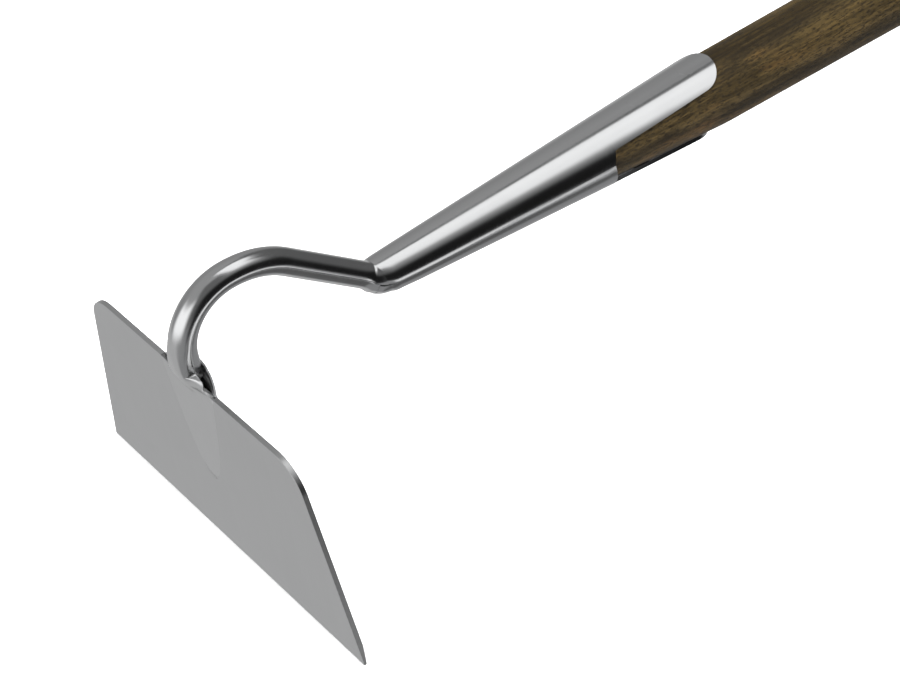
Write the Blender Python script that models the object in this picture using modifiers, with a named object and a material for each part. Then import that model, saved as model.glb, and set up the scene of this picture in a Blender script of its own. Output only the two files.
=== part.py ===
"""Swan-neck draw hoe: a plate blade on a pressed steel neck and a long riveted ash shaft.

The frame's origin is the middle of the cutting edge. +Z runs up the blade, +Y from the blade
towards the far end of the shaft, and +X along the cutting edge. The hoe stands as it does when
it is laid down: on its cutting edge and on the butt of its shaft. Everything is in metres.
"""

import math

import bmesh
import bpy
from mathutils import Matrix, Vector

# The gap that touching pieces keep.
GAP = 0.0003

# The blade: a trapezoid plate.
EDGE_WIDTH = 0.160
TOP_WIDTH = 0.125
BLADE_HEIGHT = 0.081
BLADE_THICKNESS = 0.002
CORNER_RADIUS = 0.014
EDGE_LAND = 0.001
GRIND_HEIGHT = 0.007
FRONT_Y = -EDGE_LAND / 2
BACK_Y = FRONT_Y + BLADE_THICKNESS

# The shield-shaped tongue of the front shell, let into the top of the blade.
TONGUE_HALF_WIDTH = 0.016
TONGUE_LENGTH = 0.048

# The dished tongue behind it: a slice of a wide, leaning cylinder.
DISH_RADIUS = 0.036
DISH_LEAN = math.radians(4.2)
DISH_RIM_HALF_WIDTH = 0.0155
DISH_RIM_RISE = 0.008

# The swan neck, as its centreline runs from the blade to the bend at the socket.
SHEET = 0.0015
NECK_RADIUS = 0.005
NECK_Y = FRONT_Y + 0.0012
BORE_START_Z = 0.085
FOOT_Z = 0.072
FOOT_RADIUS = 0.0007
STRAIGHT_TOP_Z = 0.0902
CROWN_RADIUS = 0.022
SHOULDER_RADIUS = 0.0325
NECK_FALL = math.radians(40.0)
SWELL_LENGTH = 0.005
SOCKET_STARTS_PAST_BEND = 0.002
LIP_START = -0.0005
BEND_RADIUS = 0.009

# The shaft, which falls gently from the socket to its butt.
SHAFT_HEIGHT = 0.0779
SHAFT_FALL = math.radians(2.31)
SHAFT_RADIUS = 0.0165
SHAFT_NECK_RADIUS = 0.0141
SHAFT_NOSE_RADIUS = 0.0064
NOSE_AT = 0.108
TAPER_ENDS_AT = 0.480
BUTT_ROUND = 0.008

# The cone socket and its two straps, measured along the shaft's axis from the blade's plane.
SOCKET_FALL = math.radians(2.4)
SOCKET_START_RADIUS = 0.0076
SOCKET_END_RADIUS = 0.0159
STRAP_TIP_AT = 0.234
LOWER_STRAP_TIP_AT = 0.231
CLEFT_AT = 0.1765
CLEFT_HALF_HEIGHT = 0.0066
CLEFT_FLARE = 0.0018
STRAP_TIP_HALF_WIDTH = 0.0128
STRAP_TIP_ROUND = 0.009

# The rivets through straps and shaft.
RIVET_PLACES = (("rivet_near_socket", 0.198), ("rivet_near_tip", 0.223))
RIVET_RADIUS = 0.0025
RIVET_HEAD_RADIUS = 0.0042
RIVET_HEAD_DEPTH = 0.0014

# Fineness of the faceted solids.
TUBE_BEVEL_STEPS = 8
TURNED_STEPS = 32
CUTTER_REACH = 0.05


def clear_scene():
    for old in list(bpy.data.objects):
        bpy.data.objects.remove(old, do_unlink=True)


def new_collection(name):
    collection = bpy.data.collections.new(name)
    bpy.context.scene.collection.children.link(collection)
    return collection


def principled(name, colour, roughness, metallic):
    material = bpy.data.materials.new(name)
    material.use_nodes = True
    shader = material.node_tree.nodes["Principled BSDF"]
    shader.inputs["Base Color"].default_value = (*colour, 1.0)
    shader.inputs["Roughness"].default_value = roughness
    shader.inputs["Metallic"].default_value = metallic
    return material


def heading(angle):
    """Direction in the middle plane, at this angle above +Y."""
    return Vector((0.0, math.cos(angle), math.sin(angle)))


def inward(direction):
    """The right-hand side of a direction in the middle plane: the hollow side of the neck."""
    return Vector((0.0, direction.z, -direction.y))


def meeting_point(a, a_direction, b, b_direction):
    """Where two lines in the middle plane cross."""
    across = a_direction.y * b_direction.z - a_direction.z * b_direction.y
    offset = b - a
    along = (offset.y * b_direction.z - offset.z * b_direction.y) / across
    return a + a_direction * along


def arc_points(centre, radius, start, end, steps):
    """Points of an arc in the middle plane, from one angle above +Y to another."""
    angles = (start + (end - start) * i / steps for i in range(steps + 1))
    return [centre + radius * heading(angle) for angle in angles]


def shaft_point(along):
    """A point of the shaft's axis, this far from the blade's front."""
    direction = heading(-SHAFT_FALL)
    return Vector((0.0, FRONT_Y, 0.0)) + direction * along - inward(direction) * SHAFT_HEIGHT


class HeadPath:
    """The centreline of the head, from the blade up the swan neck and along the socket."""

    def __init__(self):
        down = heading(-NECK_FALL)
        crown_centre = Vector((0.0, NECK_Y + CROWN_RADIUS, STRAIGHT_TOP_Z))
        shoulder_centre = crown_centre + Vector((0.0, 0.0, CROWN_RADIUS - SHOULDER_RADIUS))
        crown = arc_points(crown_centre, CROWN_RADIUS, math.pi, math.pi / 2, 12)
        shoulder = arc_points(
            shoulder_centre, SHOULDER_RADIUS, math.pi / 2, math.pi / 2 - NECK_FALL, 6
        )
        socket = heading(-SOCKET_FALL)
        strap_tip = shaft_point(STRAP_TIP_AT)
        self.bend = meeting_point(shoulder[-1], down, strap_tip, socket)
        tangent = BEND_RADIUS * math.tan((NECK_FALL - SOCKET_FALL) / 2)
        bend_start = self.bend - down * tangent
        bend_centre = bend_start - inward(down) * BEND_RADIUS
        bend = arc_points(
            bend_centre,
            BEND_RADIUS,
            -math.pi / 2 - NECK_FALL,
            -math.pi / 2 - SOCKET_FALL,
            4,
        )
        self.socket_length = (strap_tip - self.bend).length
        rest = [self.bend + socket * (self.socket_length * i / 8) for i in range(1, 9)]
        rest.append(strap_tip + socket * 0.004)
        foot = [
            Vector((0.0, NECK_Y, FOOT_Z + (STRAIGHT_TOP_Z - FOOT_Z) * i / 4)) for i in range(4)
        ]
        swell_start = self.bend - down * (1.5 * SWELL_LENGTH)
        self.points = foot + crown + shoulder[1:] + [swell_start] + bend + rest

    def directions(self):
        """The heading at each point, halfway between the two stretches that meet there."""
        steps = [(b - a).normalized() for a, b in zip(self.points, self.points[1:])]
        middle = [(a + b).normalized() for a, b in zip(steps, steps[1:])]
        return [steps[0], *middle, steps[-1]]

    def past_bend(self, point):
        """How far a point lies beyond the bend, measured along the socket."""
        return (point - self.bend).dot(heading(-SOCKET_FALL))

    def socket_radius(self, along):
        """Outer radius of the cone socket, this far past the bend."""
        growth = (SOCKET_END_RADIUS - SOCKET_START_RADIUS) / self.socket_length
        return SOCKET_START_RADIUS + growth * along

    def radius(self, point):
        """Outer radius of the head at a point of the path."""
        along = self.past_bend(point)
        if along > SOCKET_STARTS_PAST_BEND:
            return self.socket_radius(along)
        if along > -SWELL_LENGTH:
            share = (along + SWELL_LENGTH) / (SWELL_LENGTH + SOCKET_STARTS_PAST_BEND)
            return NECK_RADIUS + (SOCKET_START_RADIUS - NECK_RADIUS) * share**2
        if point.y < NECK_Y + 1e-5 and point.z < STRAIGHT_TOP_Z - 1e-5:
            share = (point.z - FOOT_Z) / (STRAIGHT_TOP_Z - FOOT_Z)
            return FOOT_RADIUS + (NECK_RADIUS - FOOT_RADIUS) * math.sqrt(max(share, 0.0))
        return NECK_RADIUS


def mesh_object(name, mesh, collection):
    obj = bpy.data.objects.new(name, mesh)
    collection.objects.link(obj)
    return obj


def mesh_from_curve(curve_object, name, collection):
    """The curve as a closed mesh object in the same place. The curve is removed."""
    bpy.context.view_layer.update()
    graph = bpy.context.evaluated_depsgraph_get()
    mesh = bpy.data.meshes.new_from_object(curve_object.evaluated_get(graph))
    mesh.name = name
    bm = bmesh.new()
    bm.from_mesh(mesh)
    bmesh.ops.remove_doubles(bm, verts=bm.verts, dist=1e-6)
    bmesh.ops.recalc_face_normals(bm, faces=bm.faces)
    bm.to_mesh(mesh)
    bm.free()
    obj = mesh_object(name, mesh, collection)
    obj.matrix_world = curve_object.matrix_world
    bpy.data.objects.remove(curve_object, do_unlink=True)
    return obj


def tube(name, points, radii, collection):
    """A tube along points of the middle plane, with its own radius at each."""
    curve = bpy.data.curves.new(name + "_curve", "CURVE")
    curve.dimensions = "3D"
    curve.bevel_depth = NECK_RADIUS
    curve.bevel_resolution = TUBE_BEVEL_STEPS
    curve.use_fill_caps = True
    spline = curve.splines.new("POLY")
    spline.points.add(len(points) - 1)
    for target, point, radius in zip(spline.points, points, radii):
        target.co = (*point, 1.0)
        target.radius = radius / NECK_RADIUS
    return mesh_from_curve(mesh_object(name + "_curve", curve, collection), name, collection)


def plate(name, outline, thickness, placing, collection):
    """A flat outline with a thickness. The placing turns its plane and puts it in the world."""
    curve = bpy.data.curves.new(name + "_curve", "CURVE")
    curve.dimensions = "2D"
    curve.fill_mode = "BOTH"
    curve.extrude = thickness / 2
    spline = curve.splines.new("POLY")
    spline.points.add(len(outline) - 1)
    spline.use_cyclic_u = True
    for target, (across, up) in zip(spline.points, outline):
        target.co = (across, up, 0.0, 1.0)
    flat = mesh_object(name + "_curve", curve, collection)
    flat.matrix_world = placing
    return mesh_from_curve(flat, name, collection)


def facing_front(y):
    """Placing of an outline drawn in X and Z, centred on this Y."""
    return Matrix.Translation((0.0, y, 0.0)) @ Matrix.Rotation(math.pi / 2, 4, "X")


def facing_side():
    """Placing of an outline drawn in Y and Z, centred on the middle plane."""
    return Matrix(((0, 0, 1, 0), (1, 0, 0, 0), (0, 1, 0, 0), (0, 0, 0, 1)))


def along_shaft(along):
    """Placing at a point of the shaft's axis: local X across, Y along the shaft, Z square up."""
    return Matrix.Translation(shaft_point(along)) @ Matrix.Rotation(-SHAFT_FALL, 4, "X")


def boolean(obj, operation, other, solver="EXACT"):
    """Cuts, joins or trims by another mesh. The bent tubes need MANIFOLD: EXACT leaves them open."""
    modifier = obj.modifiers.new(operation.lower() + "_" + other.name, "BOOLEAN")
    modifier.operation = operation
    modifier.solver = solver
    modifier.object = other


def as_cutters(collection):
    for obj in collection.objects:
        obj.hide_render = True
        obj.display_type = "WIRE"


def turned(name, profile, collection):
    """A profile of (radius, height) points, top to bottom, turned about local Z."""
    mesh = bpy.data.meshes.new(name)
    points = [(radius, 0.0, height) for radius, height in profile]
    mesh.from_pydata(points, [(i, i + 1) for i in range(len(points) - 1)], [])
    obj = mesh_object(name, mesh, collection)
    screw = obj.modifiers.new("turn", "SCREW")
    screw.axis = "Z"
    screw.steps = TURNED_STEPS
    screw.render_steps = TURNED_STEPS
    screw.use_merge_vertices = True
    screw.merge_threshold = 1e-5
    return obj


def rounded_corner(corner, before, after, radius, steps=6):
    """Arc points that round a corner between the points before and after it."""
    corner, before, after = Vector(corner), Vector(before), Vector(after)
    to_before = (before - corner).normalized()
    to_after = (after - corner).normalized()
    half = to_before.angle(to_after) / 2
    centre = corner + (to_before + to_after).normalized() * (radius / math.sin(half))
    start = corner + to_before * (radius / math.tan(half)) - centre
    end = corner + to_after * (radius / math.tan(half)) - centre
    sweep = start.angle_signed(end)
    turns = (-sweep * i / steps for i in range(steps + 1))
    return [tuple(centre + Matrix.Rotation(turn, 2) @ start) for turn in turns]


def tongue_outline(grown=0.0):
    """The shield: a parabola from its apex up to the blade's top edge, in X and Z."""
    half_width = TONGUE_HALF_WIDTH + grown
    length = TONGUE_LENGTH + grown
    top = BLADE_HEIGHT + (CUTTER_REACH if grown else 0.0)
    steps = 10
    right = [
        (half_width * i / steps, BLADE_HEIGHT - length + length * (i / steps) ** 2)
        for i in range(steps + 1)
    ]
    if grown:
        right.append((half_width, top))
    left = [(-across, up) for across, up in reversed(right[1:])]
    return right + left


def band(name, path, near, beyond, collection, first=0, last=None):
    """A band beside the head's path, from one offset inward to past the tube's own radius."""
    points = path.points[first:last]
    directions = path.directions()[first:last]
    start = points[0] - directions[0] * beyond[0]
    end = points[-1] + directions[-1] * beyond[1]
    points = [start, *points, end]
    directions = [directions[0], *directions, directions[-1]]
    edge = [p + inward(d) * near for p, d in zip(points, directions)]
    far = [p + inward(d) * (path.radius(p) + 0.003) for p, d in zip(points, directions)]
    outline = [(p.y, p.z) for p in edge + far[::-1]]
    return plate(name, outline, 2 * CUTTER_REACH, facing_side(), collection)


def cleft_cutter(collection):
    """The slot that parts the two straps, seen from the side: round-ended and slowly wider."""
    steps = 8
    round_end = CLEFT_AT + CLEFT_HALF_HEIGHT
    nose = [
        (
            round_end - CLEFT_HALF_HEIGHT * math.sin(math.pi * i / steps),
            CLEFT_HALF_HEIGHT * math.cos(math.pi * i / steps),
        )
        for i in range(steps + 1)
    ]
    past_tip = STRAP_TIP_AT + 0.02
    widest = CLEFT_HALF_HEIGHT + CLEFT_FLARE
    outline = [(past_tip, widest), *nose, (past_tip, -widest)]
    placing = along_shaft(0.0) @ facing_side()
    return plate("cleft_cutter", outline, 2 * CUTTER_REACH, placing, collection)


def strap_keeper(name, tip_at, collection):
    """The outline that a strap keeps, seen from above: an elliptical tip."""
    steps = 10
    shoulder = tip_at - STRAP_TIP_ROUND
    tip = [
        (
            STRAP_TIP_HALF_WIDTH * math.cos(math.pi * i / steps),
            shoulder + STRAP_TIP_ROUND * math.sin(math.pi * i / steps),
        )
        for i in range(steps + 1)
    ]
    wide = 2 * STRAP_TIP_HALF_WIDTH
    widens_at = shoulder - wide
    outline = [
        (wide, -CUTTER_REACH),
        (wide, widens_at),
        *tip,
        (-wide, widens_at),
        (-wide, -CUTTER_REACH),
    ]
    return plate(name, outline, 6 * CUTTER_REACH, along_shaft(0.0), collection)


def rivet_shape(name, path, along, grown, collection):
    """A pin with two countersunk heads, square to the shaft and longer than the socket is high."""
    strap_radius = path.socket_radius(path.past_bend(shaft_point(along)))
    head_start = strap_radius - RIVET_HEAD_DEPTH
    end = strap_radius + 0.001
    head = RIVET_HEAD_RADIUS + grown
    pin = RIVET_RADIUS + grown
    upper = [(0.0, end), (head, end), (head, strap_radius), (pin, head_start)]
    lower = [(radius, -height) for radius, height in reversed(upper)]
    shape = turned(name, upper + lower, collection)
    shape.matrix_world = along_shaft(along)
    return shape


def build_blade(parts, cutters, steel):
    half_edge, half_top = EDGE_WIDTH / 2, TOP_WIDTH / 2
    low_right, low_left = (half_edge, 0.0), (-half_edge, 0.0)
    top_right, top_left = (half_top, BLADE_HEIGHT), (-half_top, BLADE_HEIGHT)
    outline = [
        low_left,
        low_right,
        *rounded_corner(top_right, low_right, top_left, CORNER_RADIUS),
        *rounded_corner(top_left, top_right, low_left, CORNER_RADIUS),
    ]
    middle = (FRONT_Y + BACK_Y) / 2
    blade = plate("blade", outline, BLADE_THICKNESS, facing_front(middle), parts)

    # The cutting edge is ground on the back, down to a narrow land.
    slope = (BLADE_THICKNESS - EDGE_LAND) / GRIND_HEIGHT
    over = 0.002
    grind = [
        (FRONT_Y + EDGE_LAND - slope * over, -over),
        (BACK_Y + over, -over),
        (BACK_Y + over, GRIND_HEIGHT + over / slope),
    ]
    grinder = plate("grind_cutter", grind, 4 * CUTTER_REACH, facing_side(), cutters)
    notch = plate("notch_cutter", tongue_outline(GAP), 0.02, facing_front(middle), cutters)
    boolean(blade, "DIFFERENCE", grinder)
    boolean(blade, "DIFFERENCE", notch)
    blade.data.materials.append(steel)


def head_blank(name, outer, bore, collection):
    """A copy of the head's outer tube, bored out to the sheet's thickness."""
    blank = mesh_object(name, outer.data.copy(), collection)
    blank.matrix_world = outer.matrix_world
    boolean(blank, "DIFFERENCE", bore, "MANIFOLD")
    return blank


def build_dish(cutters):
    """The dished tongue on the blade's back, with its arched rim above the blade."""
    lift = BLADE_HEIGHT - TONGUE_LENGTH
    rear = Vector((0.0, BACK_Y, lift))
    tilt = Matrix.Rotation(-DISH_LEAN, 4, "X")
    placing = Matrix.Translation(rear) @ tilt @ Matrix.Translation((0.0, -DISH_RADIUS, 0.0))
    shapes = []
    for name, radius, top, bottom in (
        ("dish", DISH_RADIUS, 0.09, -0.02),
        ("dish_hollow", DISH_RADIUS - SHEET, 0.1, -0.03),
    ):
        profile = [(0.0, top), (radius, top), (radius, bottom), (0.0, bottom)]
        shape = turned(name, profile, cutters)
        shape.matrix_world = placing
        shapes.append(shape)
    dish, hollow = shapes
    steps = 12
    rim = [
        (
            DISH_RIM_HALF_WIDTH * math.cos(math.pi * i / steps),
            BLADE_HEIGHT + DISH_RIM_RISE * math.sin(math.pi * i / steps),
        )
        for i in range(steps + 1)
    ]
    wide, low, high = 0.02, lift - 0.005, BLADE_HEIGHT - 0.004
    outline = [*rim, (-wide, high), (-wide, low), (wide, low), (wide, high)]
    depth = 0.02
    behind = facing_front(BACK_Y + GAP + depth / 2)
    keeper = plate("rim_outline", outline, depth, behind, cutters)
    boolean(dish, "DIFFERENCE", hollow)
    boolean(dish, "INTERSECT", keeper)
    return dish


def build_head(parts, cutters, steel):
    """Builds the shells and the rivets, and returns the cutters of the rivet holes."""
    path = HeadPath()
    radii = [path.radius(point) for point in path.points]
    outer = tube("head_outer", path.points, radii, cutters)
    solid = sum(point.z < BORE_START_Z and point.y < CROWN_RADIUS for point in path.points)
    bore_points = path.points[solid:]
    bore_points[-1] = bore_points[-1] + heading(-SOCKET_FALL) * 0.01
    bore_radii = [radius - SHEET for radius in radii[solid:]]
    bore = tube("head_bore", bore_points, bore_radii, cutters)

    split = sum(path.past_bend(point) <= LIP_START for point in path.points)
    front_cut = band("front_cutter", path, -GAP / 2, (0.005, 0.02), cutters)
    neck_keep = band("neck_keeper", path, GAP / 2, (0.005, 0.0), cutters, last=split + 1)
    socket_keep = band("socket_keeper", path, GAP / 2, (-GAP, 0.02), cutters, first=split)
    clefts = cleft_cutter(cutters)
    holes = [
        rivet_shape(name + "_hole", path, along, GAP, cutters) for name, along in RIVET_PLACES
    ]

    front = head_blank("front_shell", outer, bore, parts)
    middle = (FRONT_Y + BACK_Y) / 2
    tongue = plate("tongue", tongue_outline(), BLADE_THICKNESS, facing_front(middle), cutters)
    boolean(front, "DIFFERENCE", front_cut, "MANIFOLD")
    boolean(front, "UNION", tongue, "MANIFOLD")

    lower = head_blank("socket_lower_shell", outer, bore, parts)
    boolean(lower, "INTERSECT", socket_keep, "MANIFOLD")
    for shell, tip_at in ((front, STRAP_TIP_AT), (lower, LOWER_STRAP_TIP_AT)):
        keeper = strap_keeper(shell.name + "_outline", tip_at, cutters)
        boolean(shell, "DIFFERENCE", clefts, "MANIFOLD")
        boolean(shell, "INTERSECT", keeper, "MANIFOLD")
        for hole in holes:
            boolean(shell, "DIFFERENCE", hole, "MANIFOLD")

    rear = head_blank("neck_rear_shell", outer, bore, parts)
    low, wide = BLADE_HEIGHT + GAP, CUTTER_REACH
    outline = [(-wide, low), (wide, low), (wide, low + wide), (-wide, low + wide)]
    above_blade = plate("above_blade", outline, 6 * CUTTER_REACH, facing_front(0.0), cutters)
    boolean(rear, "INTERSECT", neck_keep, "MANIFOLD")
    boolean(rear, "INTERSECT", above_blade, "MANIFOLD")
    boolean(rear, "UNION", build_dish(cutters), "MANIFOLD")

    for shell in (front, lower, rear):
        shell.data.materials.append(steel)
    for name, along in RIVET_PLACES:
        rivet = rivet_shape(name, path, along, 0.0, parts)
        boolean(rivet, "INTERSECT", outer)
        rivet.data.materials.append(steel)
    return holes


def build_shaft(parts, wood, holes):
    reach = (SHAFT_HEIGHT - SHAFT_RADIUS) / math.tan(SHAFT_FALL)
    steps = 5
    butt = [
        (
            SHAFT_RADIUS - BUTT_ROUND + BUTT_ROUND * math.sin(math.pi / 2 * i / steps),
            reach + BUTT_ROUND * math.cos(math.pi / 2 * i / steps),
        )
        for i in range(steps + 1)
    ]
    profile = [
        (0.0, reach + BUTT_ROUND),
        *butt,
        (SHAFT_RADIUS, TAPER_ENDS_AT),
        (SHAFT_NECK_RADIUS, STRAP_TIP_AT),
        (SHAFT_NOSE_RADIUS, NOSE_AT),
        (SHAFT_NOSE_RADIUS - 0.0015, NOSE_AT - 0.0015),
        (0.0, NOSE_AT - 0.0015),
    ]
    shaft = turned("shaft", profile, parts)
    shaft.matrix_world = along_shaft(0.0) @ Matrix.Rotation(-math.pi / 2, 4, "X")
    for hole in holes:
        boolean(shaft, "DIFFERENCE", hole)
    shaft.data.materials.append(wood)


def main():
    clear_scene()
    parts = new_collection("swan_neck_draw_hoe")
    cutters = new_collection("cutters")
    steel = principled("satin_stainless", (0.56, 0.57, 0.58), 0.3, 1.0)
    wood = principled("stained_ash", (0.16, 0.11, 0.07), 0.55, 0.0)

    build_blade(parts, cutters, steel)
    holes = build_head(parts, cutters, steel)
    build_shaft(parts, wood, holes)
    as_cutters(cutters)
    for obj in parts.objects:
        obj.data.shade_smooth()
        obj.data.set_sharp_from_angle(angle=math.radians(30))


main()
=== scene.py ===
"""Looks of a swan-neck draw hoe: satin steel blade, polished pressed head and a stained ash shaft.

Every size is in metres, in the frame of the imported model: the origin is the middle of the cutting
edge, +Z runs up the blade, +Y towards the far end of the shaft and +X along the cutting edge.
"""

import logging
import math
from dataclasses import dataclass, field
from enum import Enum

import bmesh  # noqa: E402
import bpy  # noqa: E402
import numpy as np  # noqa: E402
from mathutils import Matrix, Vector  # noqa: E402


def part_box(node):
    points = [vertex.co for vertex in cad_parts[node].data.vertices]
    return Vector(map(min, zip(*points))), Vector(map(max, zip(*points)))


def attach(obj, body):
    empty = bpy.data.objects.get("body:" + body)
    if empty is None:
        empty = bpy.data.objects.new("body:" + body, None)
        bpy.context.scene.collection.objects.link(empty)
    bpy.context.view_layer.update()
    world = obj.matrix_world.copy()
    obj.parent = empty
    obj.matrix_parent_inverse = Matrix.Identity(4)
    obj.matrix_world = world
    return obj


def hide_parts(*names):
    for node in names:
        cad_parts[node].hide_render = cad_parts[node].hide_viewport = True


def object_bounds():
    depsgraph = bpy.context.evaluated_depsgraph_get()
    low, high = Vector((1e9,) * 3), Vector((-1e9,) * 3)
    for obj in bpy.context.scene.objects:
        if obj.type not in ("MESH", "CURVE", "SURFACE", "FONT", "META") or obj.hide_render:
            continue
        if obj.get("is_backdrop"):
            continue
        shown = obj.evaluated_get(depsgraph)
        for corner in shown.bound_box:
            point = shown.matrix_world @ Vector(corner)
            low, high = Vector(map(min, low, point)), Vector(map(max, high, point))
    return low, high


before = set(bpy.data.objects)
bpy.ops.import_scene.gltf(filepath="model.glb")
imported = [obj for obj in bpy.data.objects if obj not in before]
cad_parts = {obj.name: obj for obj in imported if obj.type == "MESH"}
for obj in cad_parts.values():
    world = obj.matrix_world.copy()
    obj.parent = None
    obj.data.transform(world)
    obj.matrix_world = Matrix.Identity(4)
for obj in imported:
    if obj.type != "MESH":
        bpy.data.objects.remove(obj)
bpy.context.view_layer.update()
BODY = "root"
ACROSS = np.array((1.0, 0.0, 0.0))
MERGE = 1e-6
ALMOST = 1e-4

log = logging.getLogger("draw_hoe")


class Brush(Enum):
    """Which way the fine polishing lines run on a steel piece."""

    UP_THE_BLADE = (900.0, 60.0, 22.0)
    ALONG_THE_HEAD = (700.0, 26.0, 420.0)


def smooth_step(value: np.ndarray | float, start: float, end: float) -> np.ndarray:
    """Eases from 0 at start to 1 at end.

    Args:
        value: Number or array to ease.
        start: Where the easing is 0.
        end: Where the easing is 1. It may lie below start.

    Returns:
        The eased number or array.
    """
    share = np.clip((np.asarray(value, float) - start) / (end - start), 0.0, 1.0)
    return share * share * (3.0 - 2.0 * share)


def heading(angle: float) -> np.ndarray:
    """Direction in the middle plane, at this angle above +Y."""
    return np.array((0.0, math.cos(angle), math.sin(angle)))


def outward(angle: float) -> np.ndarray:
    """The side of a heading that faces away from the hollow of the neck."""
    return np.array((0.0, -math.sin(angle), math.cos(angle)))


# ---------------------------------------------------------------------------------------------
# Mesh helpers
# ---------------------------------------------------------------------------------------------


def new_piece(name: str, mesh: bpy.types.Mesh) -> bpy.types.Object:
    """Puts a mesh in the scene as an object at the origin.

    Args:
        name: Name of the piece.
        mesh: Its mesh, already in place.

    Returns:
        The new object.
    """
    piece = bpy.data.objects.new(name, mesh)
    bpy.context.scene.collection.objects.link(piece)
    return piece


def settle(piece: bpy.types.Object) -> bpy.types.Object:
    """Turns a piece's modifiers into plain mesh.

    Args:
        piece: The object with its modifiers.

    Returns:
        The same object, without modifiers.
    """
    bpy.context.view_layer.update()
    graph = bpy.context.evaluated_depsgraph_get()
    mesh = bpy.data.meshes.new_from_object(
        piece.evaluated_get(graph), preserve_all_data_layers=True, depsgraph=graph
    )
    mesh.name = piece.name
    piece.modifiers.clear()
    piece.data = mesh
    return piece


def round_edges(piece: bpy.types.Object, width: float, segments: int = 3) -> None:
    """Rounds the edges that carry a bevel weight.

    Args:
        piece: The object to round.
        width: Width of the rounding.
        segments: Number of facets across it.
    """
    bevel = piece.modifiers.new("rounded_edges", "BEVEL")
    bevel.limit_method = "WEIGHT"
    bevel.width = width
    bevel.segments = segments
    bevel.harden_normals = True
    settle(piece)


def dress(
    piece: bpy.types.Object, finish: bpy.types.Material, slot: str, *nodes: str
) -> bpy.types.Object:
    """Gives a piece its finish and its body, and lets it stand for its CAD nodes.

    Args:
        piece: The piece.
        finish: Its material.
        slot: Name of its material slot. It is not used.
        *nodes: The CAD nodes that it replaces.

    Returns:
        The piece.
    """
    piece.data.materials.clear()
    piece.data.materials.append(finish)
    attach(piece, BODY)
    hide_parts(*nodes)
    return piece


def grid_normals(grid: np.ndarray) -> np.ndarray:
    """Unit normals of a grid of points.

    Args:
        grid: Array of rows by columns by 3.

    Returns:
        Array of the same shape. It points outwards for rows that run along the head and columns
        that run from -X to +X.
    """
    normal = np.cross(np.gradient(grid, axis=1), np.gradient(grid, axis=0))
    return normal / np.maximum(np.linalg.norm(normal, axis=2, keepdims=True), 1e-12)


@dataclass(frozen=True)
class RimWeights:
    """Bevel weights of a sheet's rims: of its sides for each row, and of its two ends."""

    sides: np.ndarray
    start: float = 1.0
    end: float = 1.0


def shell_faces(rows: int, columns: int) -> list[tuple[int, int, int, int]]:
    """Faces of a sheet, with the points of its outer grid followed by those of its inner grid.

    Args:
        rows: Rows of each grid.
        columns: Columns of each grid.

    Returns:
        The faces of both grids, and those of the rims that close them.
    """

    def at(row: int, column: int, layer: int) -> int:
        """Number of a point of the outer (0) or inner (1) layer."""
        return (layer * rows + row) * columns + column

    faces = []
    for i in range(rows - 1):
        for j in range(columns - 1):
            faces.append((at(i, j, 0), at(i, j + 1, 0), at(i + 1, j + 1, 0), at(i + 1, j, 0)))
            faces.append((at(i, j, 1), at(i + 1, j, 1), at(i + 1, j + 1, 1), at(i, j + 1, 1)))
    last_row, last_column = rows - 1, columns - 1
    for i in range(last_row):
        faces.append((at(i, 0, 0), at(i + 1, 0, 0), at(i + 1, 0, 1), at(i, 0, 1)))
        ends = (at(i, last_column, 1), at(i + 1, last_column, 1))
        faces.append((*ends, at(i + 1, last_column, 0), at(i, last_column, 0)))
    for j in range(last_column):
        faces.append((at(0, j, 1), at(0, j + 1, 1), at(0, j + 1, 0), at(0, j, 0)))
        ends = (at(last_row, j + 1, 1), at(last_row, j, 1))
        faces.append((at(last_row, j, 0), at(last_row, j + 1, 0), *ends))
    return faces


def weigh_rims(mesh: bpy.types.Mesh, shape: tuple[int, int], weights: RimWeights) -> None:
    """Gives the rims of a sheet the bevel weights that mark them to be rounded.

    Args:
        mesh: The sheet.
        shape: Rows and columns of its grids.
        weights: Weight of each rim.
    """
    rows, columns = shape
    far = rows * columns
    rim = mesh.attributes.new("bevel_weight_edge", "FLOAT", "EDGE")
    for edge in mesh.edges:
        a, b = sorted(edge.vertices)
        if (a < far) != (b < far):
            continue
        (row_a, column_a), (row_b, column_b) = divmod(a % far, columns), divmod(b % far, columns)
        weight = 0.0
        if column_a == column_b and column_a in (0, columns - 1):
            weight = float(min(weights.sides[row_a], weights.sides[row_b]))
        elif row_a == row_b and row_a in (0, rows - 1):
            weight = weights.start if row_a == 0 else weights.end
        rim.data[edge.index].value = weight


def shell_mesh(
    name: str, outer: np.ndarray, inner: np.ndarray, weights: RimWeights
) -> bpy.types.Mesh:
    """Closes an outer and an inner grid of points into one solid sheet.

    Args:
        name: Name of the mesh.
        outer: Rows by columns by 3, with normals outwards.
        inner: The same, on the far side of the sheet.
        weights: Bevel weights of the rims.

    Returns:
        A closed mesh with smooth faces.
    """
    rows, columns = outer.shape[:2]
    points = np.concatenate([outer.reshape(-1, 3), inner.reshape(-1, 3)])
    mesh = bpy.data.meshes.new(name)
    mesh.from_pydata(points.tolist(), [], shell_faces(rows, columns))
    mesh.update()
    weigh_rims(mesh, (rows, columns), weights)
    mesh.shade_smooth()
    bm = bmesh.new()
    bm.from_mesh(mesh)
    bmesh.ops.recalc_face_normals(bm, faces=bm.faces)
    bm.to_mesh(mesh)
    bm.free()
    return mesh


# ---------------------------------------------------------------------------------------------
# The head's line
# ---------------------------------------------------------------------------------------------


@dataclass(frozen=True)
class Station:
    """One place on the head's line: its centre, its heading and the head's outer radius there.

    A slanted section leans forwards: each point moves ahead by this share of its drop below the
    top line.
    """

    centre: np.ndarray
    angle: float
    radius: float
    slant: float = 0.0


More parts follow.
